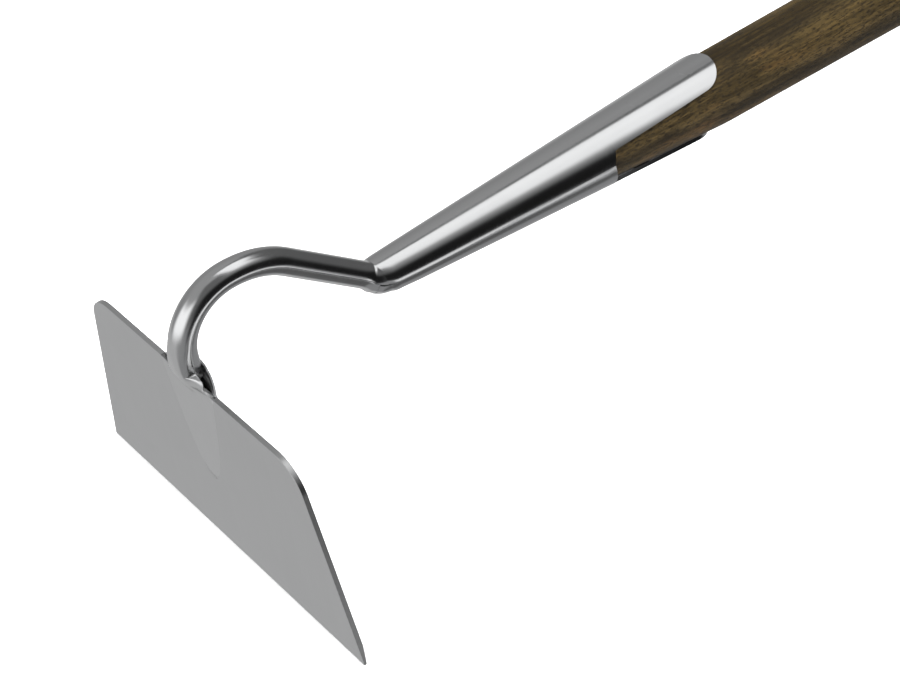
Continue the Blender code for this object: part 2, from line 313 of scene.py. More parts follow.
@dataclass
class HeadLine:
    """The line that the head follows: up from the blade, over the crown and along the socket."""

    front_y: float = -0.0005
    neck_y: float = 0.0007
    neck_radius: float = 0.005
    straight_top: float = 0.0893
    crown_radius: float = 0.022
    shoulder_radius: float = 0.0355
    neck_fall: float = math.radians(40.0)
    socket_fall: float = math.radians(2.4)
    socket_start_radius: float = 0.0076
    socket_end_radius: float = 0.0159
    shaft_height: float = 0.0779
    shaft_fall: float = math.radians(2.31)
    strap_tip_at: float = 0.234
    corner_fillet: float = 0.0012
    swell_before: float = 0.0030
    swell_after: float = 0.0045
    fold_slant: float = 0.28
    slant_reach: float = 0.018
    straight_steps: int = 6
    crown_steps: int = 30
    shoulder_steps: int = 20
    fall_steps: int = 18
    shoulder_centre: np.ndarray = field(init=False)
    shoulder_end: np.ndarray = field(init=False)
    bend: np.ndarray = field(init=False)
    bend_at: float = field(init=False)
    growth: float = field(init=False)
    corner: np.ndarray = field(init=False)
    corner_past_bend: float = field(init=False)
    corner_radius: float = field(init=False)

    def __post_init__(self) -> None:
        """Finds the bend, and the sharp corner above it where neck and socket meet."""
        tip = self.shaft_point(self.strap_tip_at)
        crown_top = np.array(
            (0.0, self.neck_y + self.crown_radius, self.straight_top + self.crown_radius)
        )
        self.shoulder_centre = crown_top - np.array((0.0, 0.0, self.shoulder_radius))
        down, along = heading(-self.neck_fall), heading(-self.socket_fall)
        neck_up, socket_up = outward(-self.neck_fall), outward(-self.socket_fall)
        self.shoulder_end = self.shoulder_centre + neck_up * self.shoulder_radius
        sides = np.stack([down[1:], -along[1:]], axis=1)
        reach = np.linalg.solve(sides, (tip - self.shoulder_end)[1:])[0]
        self.bend = self.shoulder_end + down * reach
        socket_length = float(np.linalg.norm(tip - self.bend))
        self.bend_at = self.strap_tip_at - socket_length
        self.growth = (self.socket_end_radius - self.socket_start_radius) / socket_length

        # The corner's fillet touches both top lines: the neck's, and the widening socket's.
        above_neck = self.neck_radius + self.corner_fillet
        sides = np.array([[down @ socket_up, -self.growth], [down @ along, -1.0]])
        rise = self.socket_start_radius + self.corner_fillet - above_neck * (neck_up @ socket_up)
        behind, past = np.linalg.solve(sides, (rise, -above_neck * (neck_up @ along)))
        self.corner = self.bend + down * behind + neck_up * above_neck
        self.corner_past_bend = float(past)
        self.corner_radius = self.socket_start_radius + self.growth * self.corner_past_bend

    def shaft_point(self, along: float) -> np.ndarray:
        """A point of the shaft's axis.

        Args:
            along: Its distance from the blade's front, along the shaft.

        Returns:
            The point.
        """
        start = np.array((0.0, self.front_y, 0.0))
        angle = -self.shaft_fall
        return start + heading(angle) * along + outward(angle) * self.shaft_height

    def neck(self, start: float) -> list[Station]:
        """Stations from this height on the upright stretch to the start of the bend.

        Args:
            start: Height of the first station.

        Returns:
            The stations, in order.
        """
        right = math.pi / 2
        centres = []
        for z in np.linspace(start, self.straight_top, self.straight_steps + 1)[:-1]:
            centres.append((np.array((0.0, self.neck_y, z)), right))
        crown_centre = np.array((0.0, self.neck_y + self.crown_radius, self.straight_top))
        for angle in np.linspace(right, 0.0, self.crown_steps + 1):
            centres.append((crown_centre + outward(angle) * self.crown_radius, angle))
        for angle in np.linspace(0.0, -self.neck_fall, self.shoulder_steps + 1)[1:]:
            centres.append((self.shoulder_centre + outward(angle) * self.shoulder_radius, angle))
        found = [Station(centre, angle, self.neck_radius) for centre, angle in centres]
        above_neck = self.neck_radius + self.corner_fillet
        neck_end = self.corner - outward(-self.neck_fall) * above_neck
        length = float(np.linalg.norm(neck_end - self.shoulder_end))
        for left in np.linspace(length, 0.0, self.fall_steps + 1)[1:]:
            found.append(self.hung(neck_end - heading(-self.neck_fall) * left, -left))
        return found

    def swell(self, past_corner: float) -> float:
        """Radius of the head close to the bend, where it swells from the neck to the socket.

        Args:
            past_corner: Distance past the corner, along the head.

        Returns:
            The radius.
        """
        end = self.fan_length() + self.swell_after
        goal = self.corner_radius + self.growth * self.swell_after
        share = float(smooth_step(past_corner, -self.swell_before, end))
        return self.neck_radius + (goal - self.neck_radius) * share

    def fan_length(self) -> float:
        """Length of the axis round the bend."""
        middle = (self.neck_radius + self.corner_radius) / 2 + self.corner_fillet
        return middle * (self.neck_fall - self.socket_fall)

    def hung(self, centre: np.ndarray, past_corner: float) -> Station:
        """A station of the neck that swells downwards only, so that its top line stays straight.

        Args:
            centre: Centre of the neck there, before it swells.
            past_corner: Distance past the corner, which is negative here.

        Returns:
            The station.
        """
        radius = self.swell(past_corner)
        lowered = outward(-self.neck_fall) * (radius - self.neck_radius)
        slant = self.fold_slant * float(smooth_step(past_corner, -self.slant_reach, 0.0))
        return Station(centre - lowered, -self.neck_fall, radius, slant)

    def fan(self, steps: int = 24) -> list[Station]:
        """Stations round the bend, which all touch its corner.

        Args:
            steps: Number of stations.

        Returns:
            The stations, in order.
        """
        found = []
        for share in np.linspace(0.0, 1.0, steps + 1)[1:]:
            angle = -self.neck_fall + (self.neck_fall - self.socket_fall) * share
            radius = self.swell(self.fan_length() * share)
            centre = self.corner - outward(angle) * (radius + self.corner_fillet)
            found.append(Station(centre, angle, radius, self.fold_slant))
        return found

    def socket(self, at: float) -> Station:
        """The station of the socket at this place, measured as along the shaft.

        Args:
            at: The place.

        Returns:
            The station. Close to the bend it is still narrow, and hangs from the socket's top line.
        """
        past = at - self.bend_at
        up = outward(-self.socket_fall)
        centre = self.bend + heading(-self.socket_fall) * past
        radius = self.socket_start_radius + self.growth * past
        past_fan = past - self.corner_past_bend
        if past_fan < self.swell_after:
            full = radius
            radius = min(full, self.swell(self.fan_length() + past_fan))
            centre = centre + up * (full - radius)
        slant = self.fold_slant * float(smooth_step(past_fan, self.slant_reach, 0.0))
        return Station(centre, -self.socket_fall, radius, slant)


# ---------------------------------------------------------------------------------------------
# Finishes
# ---------------------------------------------------------------------------------------------


class NodePen:
    """Writes nodes and links into a node tree with few words."""

    def __init__(self, tree: bpy.types.NodeTree) -> None:
        """Takes the tree to write into."""
        self.tree = tree

    def node(self, kind: str, **settings: object) -> bpy.types.Node:
        """Adds a node.

        Args:
            kind: Its type name.
            **settings: Properties to set on it.

        Returns:
            The node.
        """
        made = self.tree.nodes.new(kind)
        for key, value in settings.items():
            setattr(made, key, value)
        return made

    def feed(self, socket: bpy.types.NodeSocket, source: object) -> None:
        """Links a socket to another, or sets its own value.

        Args:
            socket: The socket to feed.
            source: Another socket, or a value.
        """
        if isinstance(source, bpy.types.NodeSocket):
            self.tree.links.new(source, socket)
        else:
            socket.default_value = source

    def math(self, operation: str, *sources: object, clamp: bool = False) -> bpy.types.NodeSocket:
        """Adds a Math node.

        Args:
            operation: What it does.
            *sources: The numbers or sockets that it works on.
            clamp: Whether the result is kept between 0 and 1.

        Returns:
            Its output.
        """
        made = self.node("ShaderNodeMath", operation=operation, use_clamp=clamp)
        for socket, source in zip(made.inputs, sources):
            self.feed(socket, source)
        return made.outputs[0]

    def sum_of(self, *sources: object) -> bpy.types.NodeSocket:
        """Adds up numbers or sockets.

        Args:
            *sources: The numbers or sockets.

        Returns:
            The sum.
        """
        total = sources[0]
        for source in sources[1:]:
            total = self.math("ADD", total, source)
        return total

    def times(self, first: object, second: object, clamp: bool = False) -> bpy.types.NodeSocket:
        """Multiplies two numbers or sockets, and returns the output."""
        return self.math("MULTIPLY", first, second, clamp=clamp)

    def minus(self, first: object, second: object) -> bpy.types.NodeSocket:
        """Subtracts the second number or socket from the first, and returns the output."""
        return self.math("SUBTRACT", first, second)

    def ease(self, value: object, start: float, end: float) -> bpy.types.NodeSocket:
        """Eases a value smoothly from 0 at start to 1 at end.

        Args:
            value: Number or socket to ease.
            start: Where the easing is 0.
            end: Where the easing is 1. It may lie below start.

        Returns:
            The output.
        """
        if start > end:
            return self.minus(1.0, self.ease(value, end, start))
        made = self.node("ShaderNodeMapRange", interpolation_type="SMOOTHSTEP")
        self.feed(made.inputs["Value"], value)
        self.feed(made.inputs["From Min"], start)
        self.feed(made.inputs["From Max"], end)
        return made.outputs["Result"]

    def between(self, value: object, low: object, high: object) -> bpy.types.NodeSocket:
        """Maps 0..1 to low..high.

        Args:
            value: Number or socket to map.
            low: The result at 0.
            high: The result at 1.

        Returns:
            The output.
        """
        made = self.node("ShaderNodeMapRange")
        self.feed(made.inputs["Value"], value)
        self.feed(made.inputs["To Min"], low)
        self.feed(made.inputs["To Max"], high)
        return made.outputs["Result"]

    def blend(self, share: object, first: object, second: object) -> bpy.types.NodeSocket:
        """Blends two colours.

        Args:
            share: Share of the second colour.
            first: Colour or socket.
            second: Colour or socket.

        Returns:
            The output.
        """
        made = self.node("ShaderNodeMix", data_type="RGBA")
        factor, colour_a, colour_b = made.inputs["Factor"], made.inputs[6], made.inputs[7]
        for socket, source in ((factor, share), (colour_a, first), (colour_b, second)):
            self.feed(socket, source)
        return made.outputs[2]

    def noise(
        self, vector: object, scale: float, detail: float = 3.0, distortion: float = 0.0
    ) -> bpy.types.NodeSocket:
        """Adds a noise pattern on a vector.

        Args:
            vector: Where to look up the noise.
            scale: Its scale.
            detail: Number of finer layers.
            distortion: How far it is warped.

        Returns:
            Its value.
        """
        made = self.node("ShaderNodeTexNoise")
        self.feed(made.inputs["Vector"], vector)
        made.inputs["Scale"].default_value = scale
        made.inputs["Detail"].default_value = detail
        made.inputs["Distortion"].default_value = distortion
        return made.outputs["Fac"]

    def stretched(self, vector: object, scale: object) -> bpy.types.NodeSocket:
        """Scales a vector by three numbers.

        Args:
            vector: The vector.
            scale: The three numbers.

        Returns:
            The output.
        """
        made = self.node("ShaderNodeMapping")
        self.feed(made.inputs["Vector"], vector)
        self.feed(made.inputs["Scale"], scale)
        return made.outputs["Vector"]

    def turned(self, vector: object, turn: tuple[float, float, float]) -> bpy.types.NodeSocket:
        """Turns a vector by Euler angles.

        Args:
            vector: The vector.
            turn: The angles.

        Returns:
            The output.
        """
        made = self.node("ShaderNodeMapping")
        self.feed(made.inputs["Vector"], vector)
        made.inputs["Rotation"].default_value = turn
        return made.outputs["Vector"]

    def split(self, vector: object) -> tuple:
        """Parts a vector.

        Args:
            vector: The vector.

        Returns:
            Its three numbers.
        """
        made = self.node("ShaderNodeSeparateXYZ")
        self.feed(made.inputs[0], vector)
        return tuple(made.outputs)

    def bump(self, height: object, strength: float, distance: float) -> bpy.types.NodeSocket:
        """Adds a bump.

        Args:
            height: The height to follow.
            strength: How much of it shows.
            distance: The height that 1 stands for, in metres.

        Returns:
            The bumped normal.
        """
        made = self.node("ShaderNodeBump")
        made.inputs["Strength"].default_value = strength
        made.inputs["Distance"].default_value = distance
        self.feed(made.inputs["Height"], height)
        return made.outputs["Normal"]

    def group(self, tree: bpy.types.NodeTree, vector: object) -> bpy.types.bpy_prop_collection:
        """Adds a shared node group.

        Args:
            tree: The group.
            vector: What feeds its vector.

        Returns:
            Its outputs.
        """
        made = self.node("ShaderNodeGroup", node_tree=tree)
        self.feed(made.inputs["Vector"], vector)
        return made.outputs


def new_group(name: str, inputs: dict[str, object], outputs: list[str]) -> tuple:
    """Starts a shader node group.

    Args:
        name: Name of the group.
        inputs: Input names with their default value: a number, or None for a vector.
        outputs: Names of its number outputs.

    Returns:
        The group, its pen, its Group Input node and its Group Output node.
    """
    group = bpy.data.node_groups.new(name, "ShaderNodeTree")
    for label, default in inputs.items():
        kind = "NodeSocketVector" if default is None else "NodeSocketFloat"
        socket = group.interface.new_socket(label, in_out="INPUT", socket_type=kind)
        if default is not None:
            socket.default_value = default
    for label in outputs:
        group.interface.new_socket(label, in_out="OUTPUT", socket_type="NodeSocketFloat")
    pen = NodePen(group)
    return group, pen, pen.node("NodeGroupInput"), pen.node("NodeGroupOutput")


def start_material(name: str) -> tuple[bpy.types.Material, NodePen, bpy.types.NodeInputs]:
    """Starts a material.

    Args:
        name: Name of the material.

    Returns:
        The material, its pen and the inputs of its Principled shader.
    """
    material = bpy.data.materials.new(name)
    material.use_nodes = True
    shader = material.node_tree.nodes["Principled BSDF"]
    return material, NodePen(material.node_tree), shader.inputs


def brushed_lines_group() -> bpy.types.NodeTree:
    """Builds the group of fine polishing lines, shared by the steels.

    Returns:
        A group that takes a stretched vector, and gives the lines from 0 to 1.
    """
    group, pen, given, result = new_group("brushed_lines", {"Vector": None}, ["Lines"])
    lines = pen.noise(given.outputs["Vector"], 1.0, detail=4.0)
    broad = pen.noise(given.outputs["Vector"], 0.18, detail=2.0)
    pen.feed(result.inputs["Lines"], pen.times(pen.sum_of(lines, broad), 0.5, clamp=True))
    return group


def handling_group() -> bpy.types.NodeTree:
    """Builds the group of faint smudges from handling, shared by all finishes.

    Returns:
        A group that takes a vector and gives smudges from 0 to 1.
    """
    group, pen, given, result = new_group("handling", {"Vector": None}, ["Smudges"])
    patches = pen.noise(given.outputs["Vector"], 38.0, detail=3.0, distortion=0.6)
    pen.feed(result.inputs["Smudges"], pen.ease(patches, 0.42, 0.72))
    return group


@dataclass(frozen=True)
class SteelFinish:
    """Stainless steel, polished or ground to a satin."""

    name: str
    slot: str
    colour: tuple[float, float, float]
    roughness: float
    brush: Brush
    line_depth: float
    line_strength: float = 0.25
    roughness_spread: float = 0.2
    smudge_roughness: float = 0.035
    line_dark: float = 0.93
    line_light: float = 1.05
    satin_foot: bool = False
    satin_roughness: float = 0.34
    satin_below: tuple[float, float] = (0.0905, 0.0790)
    satin_before: tuple[float, float] = (0.03, 0.012)

    def make(self, groups: dict[str, bpy.types.NodeTree]) -> bpy.types.Material:
        """Builds the material.

        Args:
            groups: The shared node groups by name.

        Returns:
            The material.
        """
        material, pen, shader = start_material(self.name)
        shader["Metallic"].default_value = 1.0
        place = pen.node("ShaderNodeTexCoord").outputs["Object"]
        lines = pen.group(groups["brushed_lines"], pen.stretched(place, self.brush.value))["Lines"]
        smudges = pen.group(groups["handling"], place)["Smudges"]

        low = self.roughness * (1.0 - self.roughness_spread)
        high = self.roughness * (1.0 + self.roughness_spread)
        rough = pen.between(lines, low, high)
        rough = pen.sum_of(rough, pen.times(smudges, self.smudge_roughness))
        if self.satin_foot:
            rough = pen.sum_of(rough, self.satin_gain(pen, place))
        pen.feed(shader["Roughness"], rough)

        dark = (*(c * self.line_dark for c in self.colour), 1.0)
        light = (*(min(c * self.line_light, 1.0) for c in self.colour), 1.0)
        pen.feed(shader["Base Color"], pen.blend(lines, dark, light))
        pen.feed(shader["Normal"], pen.bump(lines, self.line_strength, self.line_depth))
        return material

    def satin_gain(self, pen: NodePen, place: bpy.types.NodeSocket) -> bpy.types.NodeSocket:
        """Extra roughness at the foot of the neck, which is left satin like the blade.

        Args:
            pen: Pen of the material.
            place: Place on the piece.

        Returns:
            What to add to the roughness.
        """
        _, y, z = pen.split(place)
        low = pen.ease(z, *self.satin_below)
        near = pen.ease(y, *self.satin_before)
        return pen.times(pen.times(low, near), self.satin_roughness - self.roughness)


@dataclass(frozen=True)
class AshFinish:
    """Ash stained dark brown, with the long open grain of the wood, and lightly waxed."""

    name: str = "dark_stained_ash"
    slot: str = "ash"
    deep: tuple[float, float, float] = (0.0095, 0.0065, 0.0029)
    body: tuple[float, float, float] = (0.0375, 0.0250, 0.0082)
    bright: tuple[float, float, float] = (0.078, 0.050, 0.0155)
    warm: tuple[float, float, float] = (0.090, 0.045, 0.0115)
    roughness: float = 0.56
    gloss: float = 0.3
    fall: float = math.radians(2.31)
    fibre_scale: tuple[float, float, float] = (1100.0, 45.0, 1100.0)
    pore_scale: tuple[float, float, float] = (2100.0, 400.0, 2100.0)
    patch_scale: tuple[float, float, float] = (90.0, 30.0, 90.0)
    drift_scale: tuple[float, float, float] = (30.0, 3.5, 30.0)
    ring_tilt: float = 0.55
    rings_in_radians: float = 620.0
    ring_drift: float = 22.0
    ring_share: float = 0.2
    fibre_share: float = 0.7
    patch_share: float = 0.4
    tone_range: tuple[float, float] = (0.35, 1.05)
    lift_from: float = 0.45
    lift_gain: float = 1.8
    pore_range: tuple[float, float] = (0.50, 0.64)
    patch_range: tuple[float, float] = (0.50, 0.72)
    pore_depth: float = 0.8
    smoother: float = 0.08
    rougher: float = 0.12
    thin_stain_until: tuple[float, float] = (0.300, 0.20)
    thin_stain_share: float = 0.7
    grain_strength: float = 0.5
    grain_depth: float = 0.0002

    def make(self, groups: dict[str, bpy.types.NodeTree]) -> bpy.types.Material:
        """Builds the material.

        Args:
            groups: The shared node groups by name.

        Returns:
            The material.
        """
        material, pen, shader = start_material(self.name)
        shader["Specular IOR Level"].default_value = self.gloss
        place = pen.turned(pen.node("ShaderNodeTexCoord").outputs["Object"], (self.fall, 0.0, 0.0))
        fibres = pen.noise(pen.stretched(place, self.fibre_scale), 1.0, detail=4.0)
        pores = pen.noise(pen.stretched(place, self.pore_scale), 1.0, detail=2.0)
        pores = pen.ease(pores, *self.pore_range)
        patches = pen.noise(pen.stretched(place, self.patch_scale), 1.0)

        bands = pen.times(self.rings(pen, place), self.ring_share)
        tone = pen.sum_of(bands, pen.times(fibres, self.fibre_share))
        tone = pen.sum_of(tone, pen.times(patches, self.patch_share))
        tone = pen.ease(tone, *self.tone_range)
        pen.feed(shader["Base Color"], self.stain(pen, place, (tone, pores, patches)))

        smudges = pen.group(groups["handling"], place)["Smudges"]
        low, high = self.roughness - self.smoother, self.roughness + self.rougher
        rough = pen.between(fibres, low, high)
        pen.feed(shader["Roughness"], pen.minus(rough, pen.times(smudges, self.smoother)))

        height = pen.minus(fibres, pen.times(pores, self.pore_depth))
        pen.feed(shader["Normal"], pen.bump(height, self.grain_strength, self.grain_depth))
        return material

    def rings(self, pen: NodePen, place: bpy.types.NodeSocket) -> bpy.types.NodeSocket:
        """Growth rings, cut lengthwise: long bands that wander slowly along the shaft.

        Args:
            pen: Pen of the material.
            place: Place on the shaft, along its own axis.

        Returns:
            The bands, from 0 to 1.
        """
        drift = pen.noise(pen.stretched(place, self.drift_scale), 1.0, detail=2.0)
        x, _, z = pen.split(place)
        depth = pen.sum_of(pen.times(x, self.ring_tilt), z)
        turns = pen.sum_of(
            pen.times(depth, self.rings_in_radians), pen.times(drift, self.ring_drift)
        )
        return pen.sum_of(pen.times(pen.math("SINE", turns), 0.5), 0.5)

    def stain(
        self, pen: NodePen, place: bpy.types.NodeSocket, marks: tuple[bpy.types.NodeSocket, ...]
    ) -> bpy.types.NodeSocket:
        """Colour of the stained wood. The stain is thin and warm in patches just behind the straps.

        Args:
            pen: Pen of the material.
            place: Place on the shaft, along its own axis.
            marks: Tone, pores and patches, each from 0 to 1.

        Returns:
            The colour.
        """
        tone, pores, patches = marks
        deep, body, bright, warm = (
            (*c, 1.0) for c in (self.deep, self.body, self.bright, self.warm)
        )
        colour = pen.blend(pen.times(tone, 2.0, clamp=True), deep, body)
        lifted = pen.times(pen.minus(tone, self.lift_from), self.lift_gain, clamp=True)
        colour = pen.blend(lifted, colour, bright)
        near = pen.ease(pen.split(place)[1], *self.thin_stain_until)
        thin = pen.times(near, pen.ease(patches, *self.patch_range))
        colour = pen.blend(pen.times(thin, self.thin_stain_share), colour, warm)
        return pen.blend(pen.times(pores, self.pore_depth), colour, deep)


# ---------------------------------------------------------------------------------------------
# The blade
# ---------------------------------------------------------------------------------------------


@dataclass
class Blade:
    """The plate blade: a trapezoid with round top corners, notched for the head's tongue."""

    finish: bpy.types.Material
    slot: str
    tongue_half_width: float = 0.016
    tongue_length: float = 0.048
    top_width: float = 0.125
    corner_radius: float = 0.014
    edge_land: float = 0.001
    grind_height: float = 0.007
    edge_rounding: float = 0.00022
    joint: float = 0.00001
    notch_steps: int = 24
    corner_steps: int = 20
    crease: float = math.radians(3.0)
    sharp_edge: float = math.radians(50.0)

    def outline(self) -> list[tuple[float, float]]:
        """Points of the front face in X and Z, counter-clockwise as seen from the front.

        Returns:
            The outline, with the notch as a parabola.
        """
        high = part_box("blade")[1]
        half_edge, half_top, height = high.x, self.top_width / 2, high.z
        corner = self.corner((half_top, height), (half_edge, 0.0), (-half_top, height))
        half, length = self.tongue_half_width + self.joint, self.tongue_length + self.joint
        notch = []
        for i in range(-self.notch_steps, self.notch_steps + 1):
            share = i / self.notch_steps
            notch.append((half * share, height - length + length * share**2))
        right = [(half_edge, 0.0), *corner]
        left = [(-x, z) for x, z in reversed(right)]
        return right + notch[::-1] + left

    def corner(self, at: tuple, before: tuple, after: tuple) -> list[tuple[float, float]]:
        """Arc that rounds a corner.

        Args:
            at: The sharp corner.
            before: The point before it on the outline.
            after: The point after it.

        Returns:
            Points of the arc.
        """
        at, before, after = Vector(at), Vector(before), Vector(after)
        to_before, to_after = (before - at).normalized(), (after - at).normalized()
        half = to_before.angle(to_after) / 2
        centre = at + (to_before + to_after).normalized() * (self.corner_radius / math.sin(half))
        reach = self.corner_radius / math.tan(half)
        start, end = at + to_before * reach - centre, at + to_after * reach - centre
        sweep = start.angle_signed(end)
        turns = (-sweep * i / self.corner_steps for i in range(self.corner_steps + 1))
        return [tuple(centre + Matrix.Rotation(turn, 2) @ start) for turn in turns]

    def build(self) -> bpy.types.Object:
        """Builds the blade in place of its CAD node.

        Returns:
            The finished piece.
        """
        low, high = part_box("blade")
        bm = bmesh.new()
        front = [bm.verts.new((x, low.y, z)) for x, z in self.outline()]
        face = bm.faces.new(front)
        back = bmesh.ops.extrude_face_region(bm, geom=[face])["geom"]
        for item in back:
            if isinstance(item, bmesh.types.BMVert):
                item.co.y = high.y
        plane = Vector((0.0, 0.0, self.grind_height))
        every = bm.verts[:] + bm.edges[:] + bm.faces[:]
        bmesh.ops.bisect_plane(bm, geom=every, plane_co=plane, plane_no=(0.0, 0.0, 1.0))
        for vert in bm.verts:
            if vert.co.z < MERGE and vert.co.y > low.y + MERGE:
                vert.co.y = low.y + self.edge_land
        bmesh.ops.recalc_face_normals(bm, faces=bm.faces)
        mesh = bpy.data.meshes.new("hoe_blade")
        bm.to_mesh(mesh)
        bm.free()
        self.weigh(mesh)
        mesh.shade_smooth()
        mesh.set_sharp_from_angle(angle=self.crease)
        piece = new_piece("hoe_blade", mesh)
        round_edges(piece, self.edge_rounding)
        return dress(piece, self.finish, self.slot, "blade")

    def weigh(self, mesh: bpy.types.Mesh) -> None:
        """Marks the plate's outer edges to be rounded, and leaves the notch sharp.

        Args:
            mesh: The plate.
        """
        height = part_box("blade")[1].z
        bm = bmesh.new()
        bm.from_mesh(mesh)
        layer = bm.edges.layers.float.new("bevel_weight_edge")
        for edge in bm.edges:
            middle = (edge.verts[0].co + edge.verts[1].co) / 2
            half = self.tongue_half_width + 2 * self.joint
            in_notch = abs(middle.x) < half and self.grind_height < middle.z < height + self.joint * 10
            if len(edge.link_faces) == 2 and not in_notch:
                edge[layer] = float(edge.calc_face_angle(0.0) > self.sharp_edge)
        bm.to_mesh(mesh)
        bm.free()


# ---------------------------------------------------------------------------------------------
# The pressed head
# ---------------------------------------------------------------------------------------------


@dataclass
class SocketEdge:
    """Side edge of one half of the socket: seam, cleft, strap and rounded tip.

    Angles are measured round the socket's axis from the middle of this half.
    """

    seam_at_bend: float
    seam_at_cleft: float
    cleft_corner: float
    strap_root: float
    strap_end: float
    tip_at: float
    cleft_at: float = 0.1765
    cleft_slant: float = 0.0016
    corner_run: float = 0.0034
    tip_round: float = 0.0112
    tip_sweep: float = math.radians(80.0)
    past_fold: float = 0.0004
    middle_lag: float = 0.004
    lag_power: float = 6.0
    cleft_gain: float = 0.003
    row_power: float = 1.4
    corner_power: float = 1.6
    seam_steps: int = 48
    cleft_steps: int = 5
    corner_steps: int = 6
    strap_steps: int = 23
    tip_steps: int = 13

    def rows(self, line: HeadLine) -> list[tuple[float, float, float]]:
        """Rows from just past the bend to the tip.

        The middle of a row lags behind its edge before the cleft, and catches up along the strap.

        Args:
            line: The head's line.

        Returns:
            For each row its place in the middle, its place at the edge and the edge's angle, with
            the places measured as along the shaft.
        """
        found = []
        start = line.bend_at + line.corner_past_bend + self.past_fold
        for share in np.linspace(0.0, 1.0, self.seam_steps) ** self.row_power:
            at = start + (self.cleft_at - start) * share
            angle = self.seam_at_bend + (self.seam_at_cleft - self.seam_at_bend) * share
            found.append((at - self.middle_lag * share**self.lag_power, at, angle))
        middle = self.cleft_at - self.middle_lag
        for share in np.linspace(0.0, 1.0, self.cleft_steps + 1)[1:]:
            at = self.cleft_at + self.cleft_slant * share
            angle = self.seam_at_cleft + (self.cleft_corner - self.seam_at_cleft) * share
            found.append((middle + self.cleft_gain * share, at, angle))
        middle += self.cleft_gain
        return found + self.strap_rows(middle)

    def strap_rows(self, middle: float) -> list[tuple[float, float, float]]:
        """Rows of the strap, from the corner of the cleft to the rounded tip.

        Args:
            middle: Place of the middle of the row before the first.

        Returns:
            The same as rows.
        """
        found = []
        root = self.cleft_at + self.cleft_slant
        end = root + self.corner_run
        turn = self.cleft_corner - self.strap_root
        for share in np.linspace(0.0, 1.0, self.corner_steps + 1)[1:]:
            at = root + self.corner_run * share**self.corner_power
            angle = self.cleft_corner - turn * math.sin(share * math.pi / 2)
            found.append((middle + (end - middle) * share, at, angle))
        shoulder = self.tip_at - self.tip_round
        for share in np.linspace(0.0, 1.0, self.strap_steps + 1)[1:]:
            place = end + (shoulder - end) * share
            angle = self.strap_root + (self.strap_end - self.strap_root) * share
            found.append((place, place, angle))
        for share in np.linspace(0.0, 1.0, self.tip_steps + 1)[1:]:
            sweep = self.tip_sweep * share
            middle = shoulder + self.tip_round * math.sin(share * math.pi / 2)
            edge = shoulder + self.tip_round * math.sin(sweep)
            found.append((middle, edge, self.strap_end * math.cos(sweep)))
        return found


